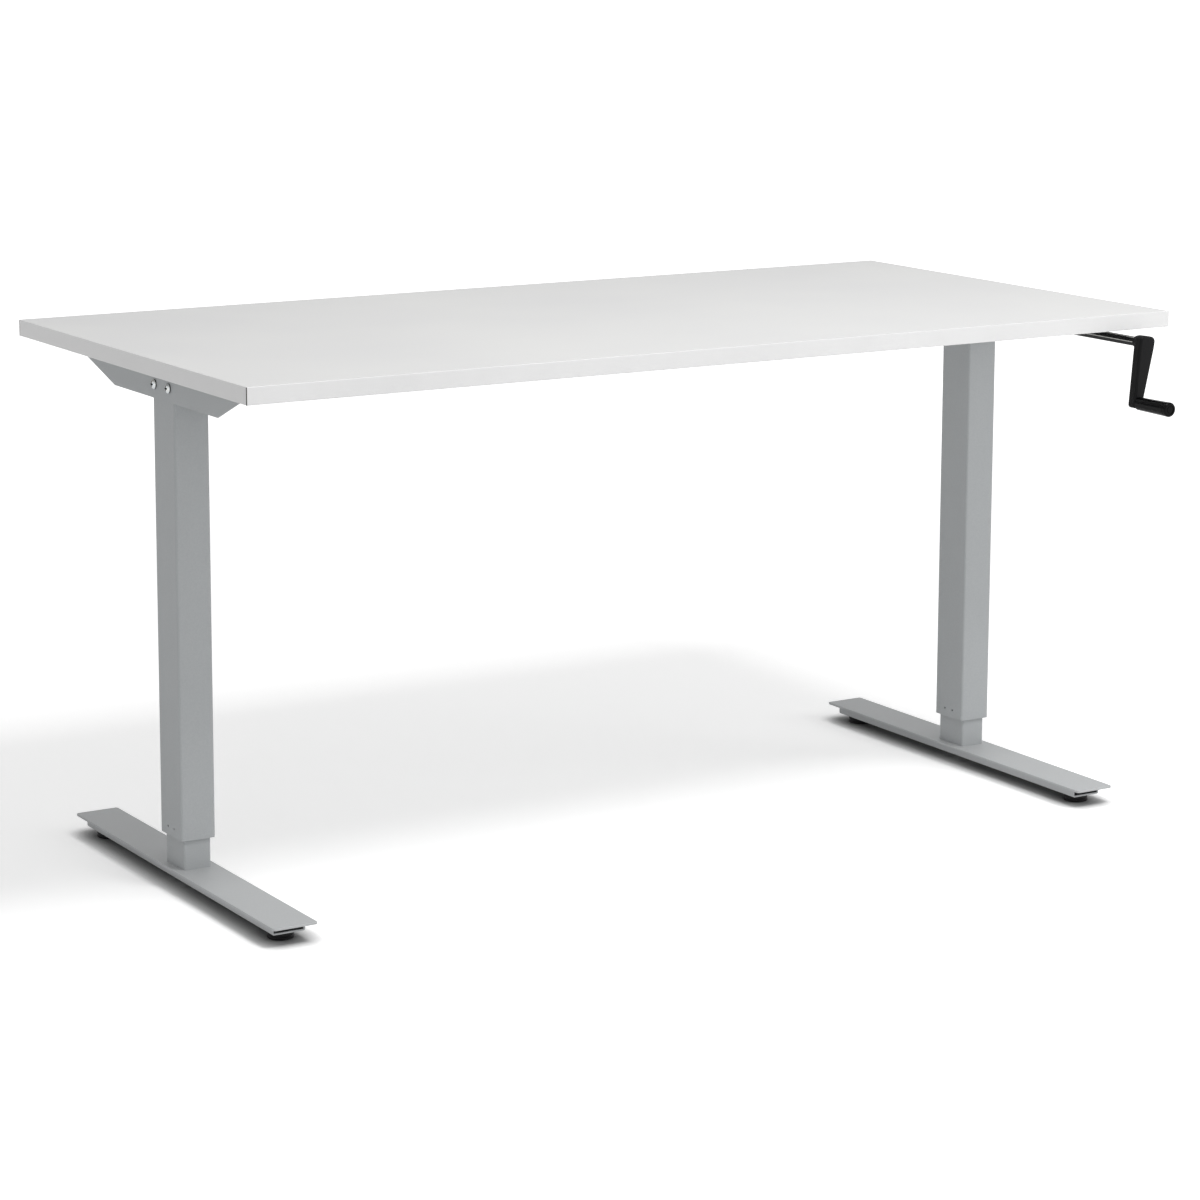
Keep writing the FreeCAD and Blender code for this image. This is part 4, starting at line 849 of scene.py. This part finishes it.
def make_crank_rod():
    """A 12 mm hexagon bar, milled to 10 mm where it enters the pinion's hub."""
    low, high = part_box("crank_rod")
    middle = (low + high) / 2
    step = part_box("crank_pinion")[0].y - PINION_GAP
    front, shoulder, rear = (Vector((middle.x, y, middle.z)) for y in (low.y, step, high.y))
    rod = hexagon_bar("hexagon_crank_rod", shoulder, front, ROD_ACROSS, ROD_CORNER)
    overlap = Vector((0, MM, 0))
    spigot = hexagon_bar("spigot", rear, shoulder - overlap, SPIGOT_ACROSS, ROD_CORNER)
    combine(rod, spigot, "UNION")
    # Painted highlight: the bar's corners take bright steel so that a light line runs along
    # them.
    show_highlit_corners(rod)
    fit(rod, "crank", "black_oxide", black_oxide, "crank_rod")


def crank_axis():
    """The rod's axis at the back face of the arm."""
    low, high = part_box("crank_rod")
    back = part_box("crank_arm")[1].y - COLLAR
    return Vector(((low.x + high.x) / 2, back, (low.z + high.z) / 2))


def stand_on_crank(piece):
    """Lean a piece made round the rod's axis and put it in place."""
    lean = Matrix.Rotation(CRANK_LEAN, 4, "Y")
    settle(piece, Matrix.Translation(crank_axis()) @ lean)


def turned_forward(name, points, drop=0.0, steps=64):
    """A turned piece whose axis runs forward, along -Y, at a height below the crank's axis."""
    forward = Matrix.Rotation(math.pi / 2, 4, "X")
    return settle(turned(name, points, steps), Matrix.Translation((0, 0, -drop)) @ forward)


def make_crank_arm(finish):
    """A bar that tapers to its tip, with a coned collar behind and a dimple over the axle."""
    foot = -ARM_LENGTH - TIP_WIDTH / 2
    arm = block("cast_crank_arm", (-HEAD_WIDTH / 2, -ARM_THICK, -SHOULDER),
                (HEAD_WIDTH / 2, 0, CROWN))
    bpy.ops.object.mode_set(mode="EDIT")
    pick(arm, "FACE", lambda face: face.normal.z < -0.9)
    drop = (0, 0, foot + SHOULDER)
    bpy.ops.mesh.extrude_region_move(TRANSFORM_OT_translate={"value": drop})
    bpy.ops.transform.resize(value=(TIP_WIDTH / HEAD_WIDTH, 1, 1),
                             center_override=(0, -ARM_THICK / 2, foot))
    bpy.ops.object.mode_set(mode="OBJECT")
    round_picked(arm, lambda e: runs_along(e, 1) and middle_of(e).z > SHOULDER,
                 HEAD_CORNER, segments=8)
    round_picked(arm, lambda e: runs_along(e, 1) and middle_of(e).z < foot + MM,
                 TIP_CORNER, segments=6)
    round_picked(arm, lambda e: is_sharp(e, 1.4), ARM_ROUNDING, segments=6)
    collar = turned_forward("collar", [
        (0, -COLLAR), (7.8 * MM, -COLLAR), (8.6 * MM, 0.4 * MM - COLLAR),
        (9.0 * MM, 1.4 * MM - COLLAR), (9.5 * MM, 0), (9.5 * MM, 2 * MM), (0, 2 * MM)])
    combine(arm, collar, "UNION")
    dimple = turned_forward("dimple", [(0, -MM), (3.2 * MM, -MM), (3.2 * MM, 0.2 * MM),
                                       (1.4 * MM, 1.2 * MM), (0, 1.2 * MM)], ARM_LENGTH)
    combine(arm, dimple, "DIFFERENCE")
    stand_on_crank(arm)
    fit(arm, "crank", "black_metal", finish, "crank_arm")


def make_grip(finish):
    """A barrel that swells to its end, with a groove and a sunk snap cap."""
    near = ARM_THICK + GRIP_GAP
    far = near + GRIP_LENGTH
    points = [(0, near), (8.1 * MM, near), (9.0 * MM, near + 0.9 * MM),
              (9.4 * MM, near + 28 * MM), (9.9 * MM, far - 6.4 * MM), (9.4 * MM, far - 6.1 * MM),
              (9.4 * MM, far - 5.5 * MM), (GRIP_RADIUS, far - 5.2 * MM)]
    points += arc(GRIP_RADIUS - GRIP_ROUNDING, far - GRIP_ROUNDING, GRIP_ROUNDING, 0, 90, 7)
    points += [(6.2 * MM, far), (5.9 * MM, far - 0.9 * MM), (4.6 * MM, far - 0.9 * MM),
               (4.2 * MM, far - 0.3 * MM), (0, far - 0.15 * MM)]
    grip = turned_forward("turning_grip", points, ARM_LENGTH)
    stand_on_crank(grip)
    fit(grip, "grip", "black_plastic", finish, "crank_grip")


make_crank_rod()
dress(black_moulding, "crank_bearing")
dress(rolled_steel_and_painted_highlight, "grip_axle")
make_crank_arm(make_satin_black())
make_grip(make_gloss_black())
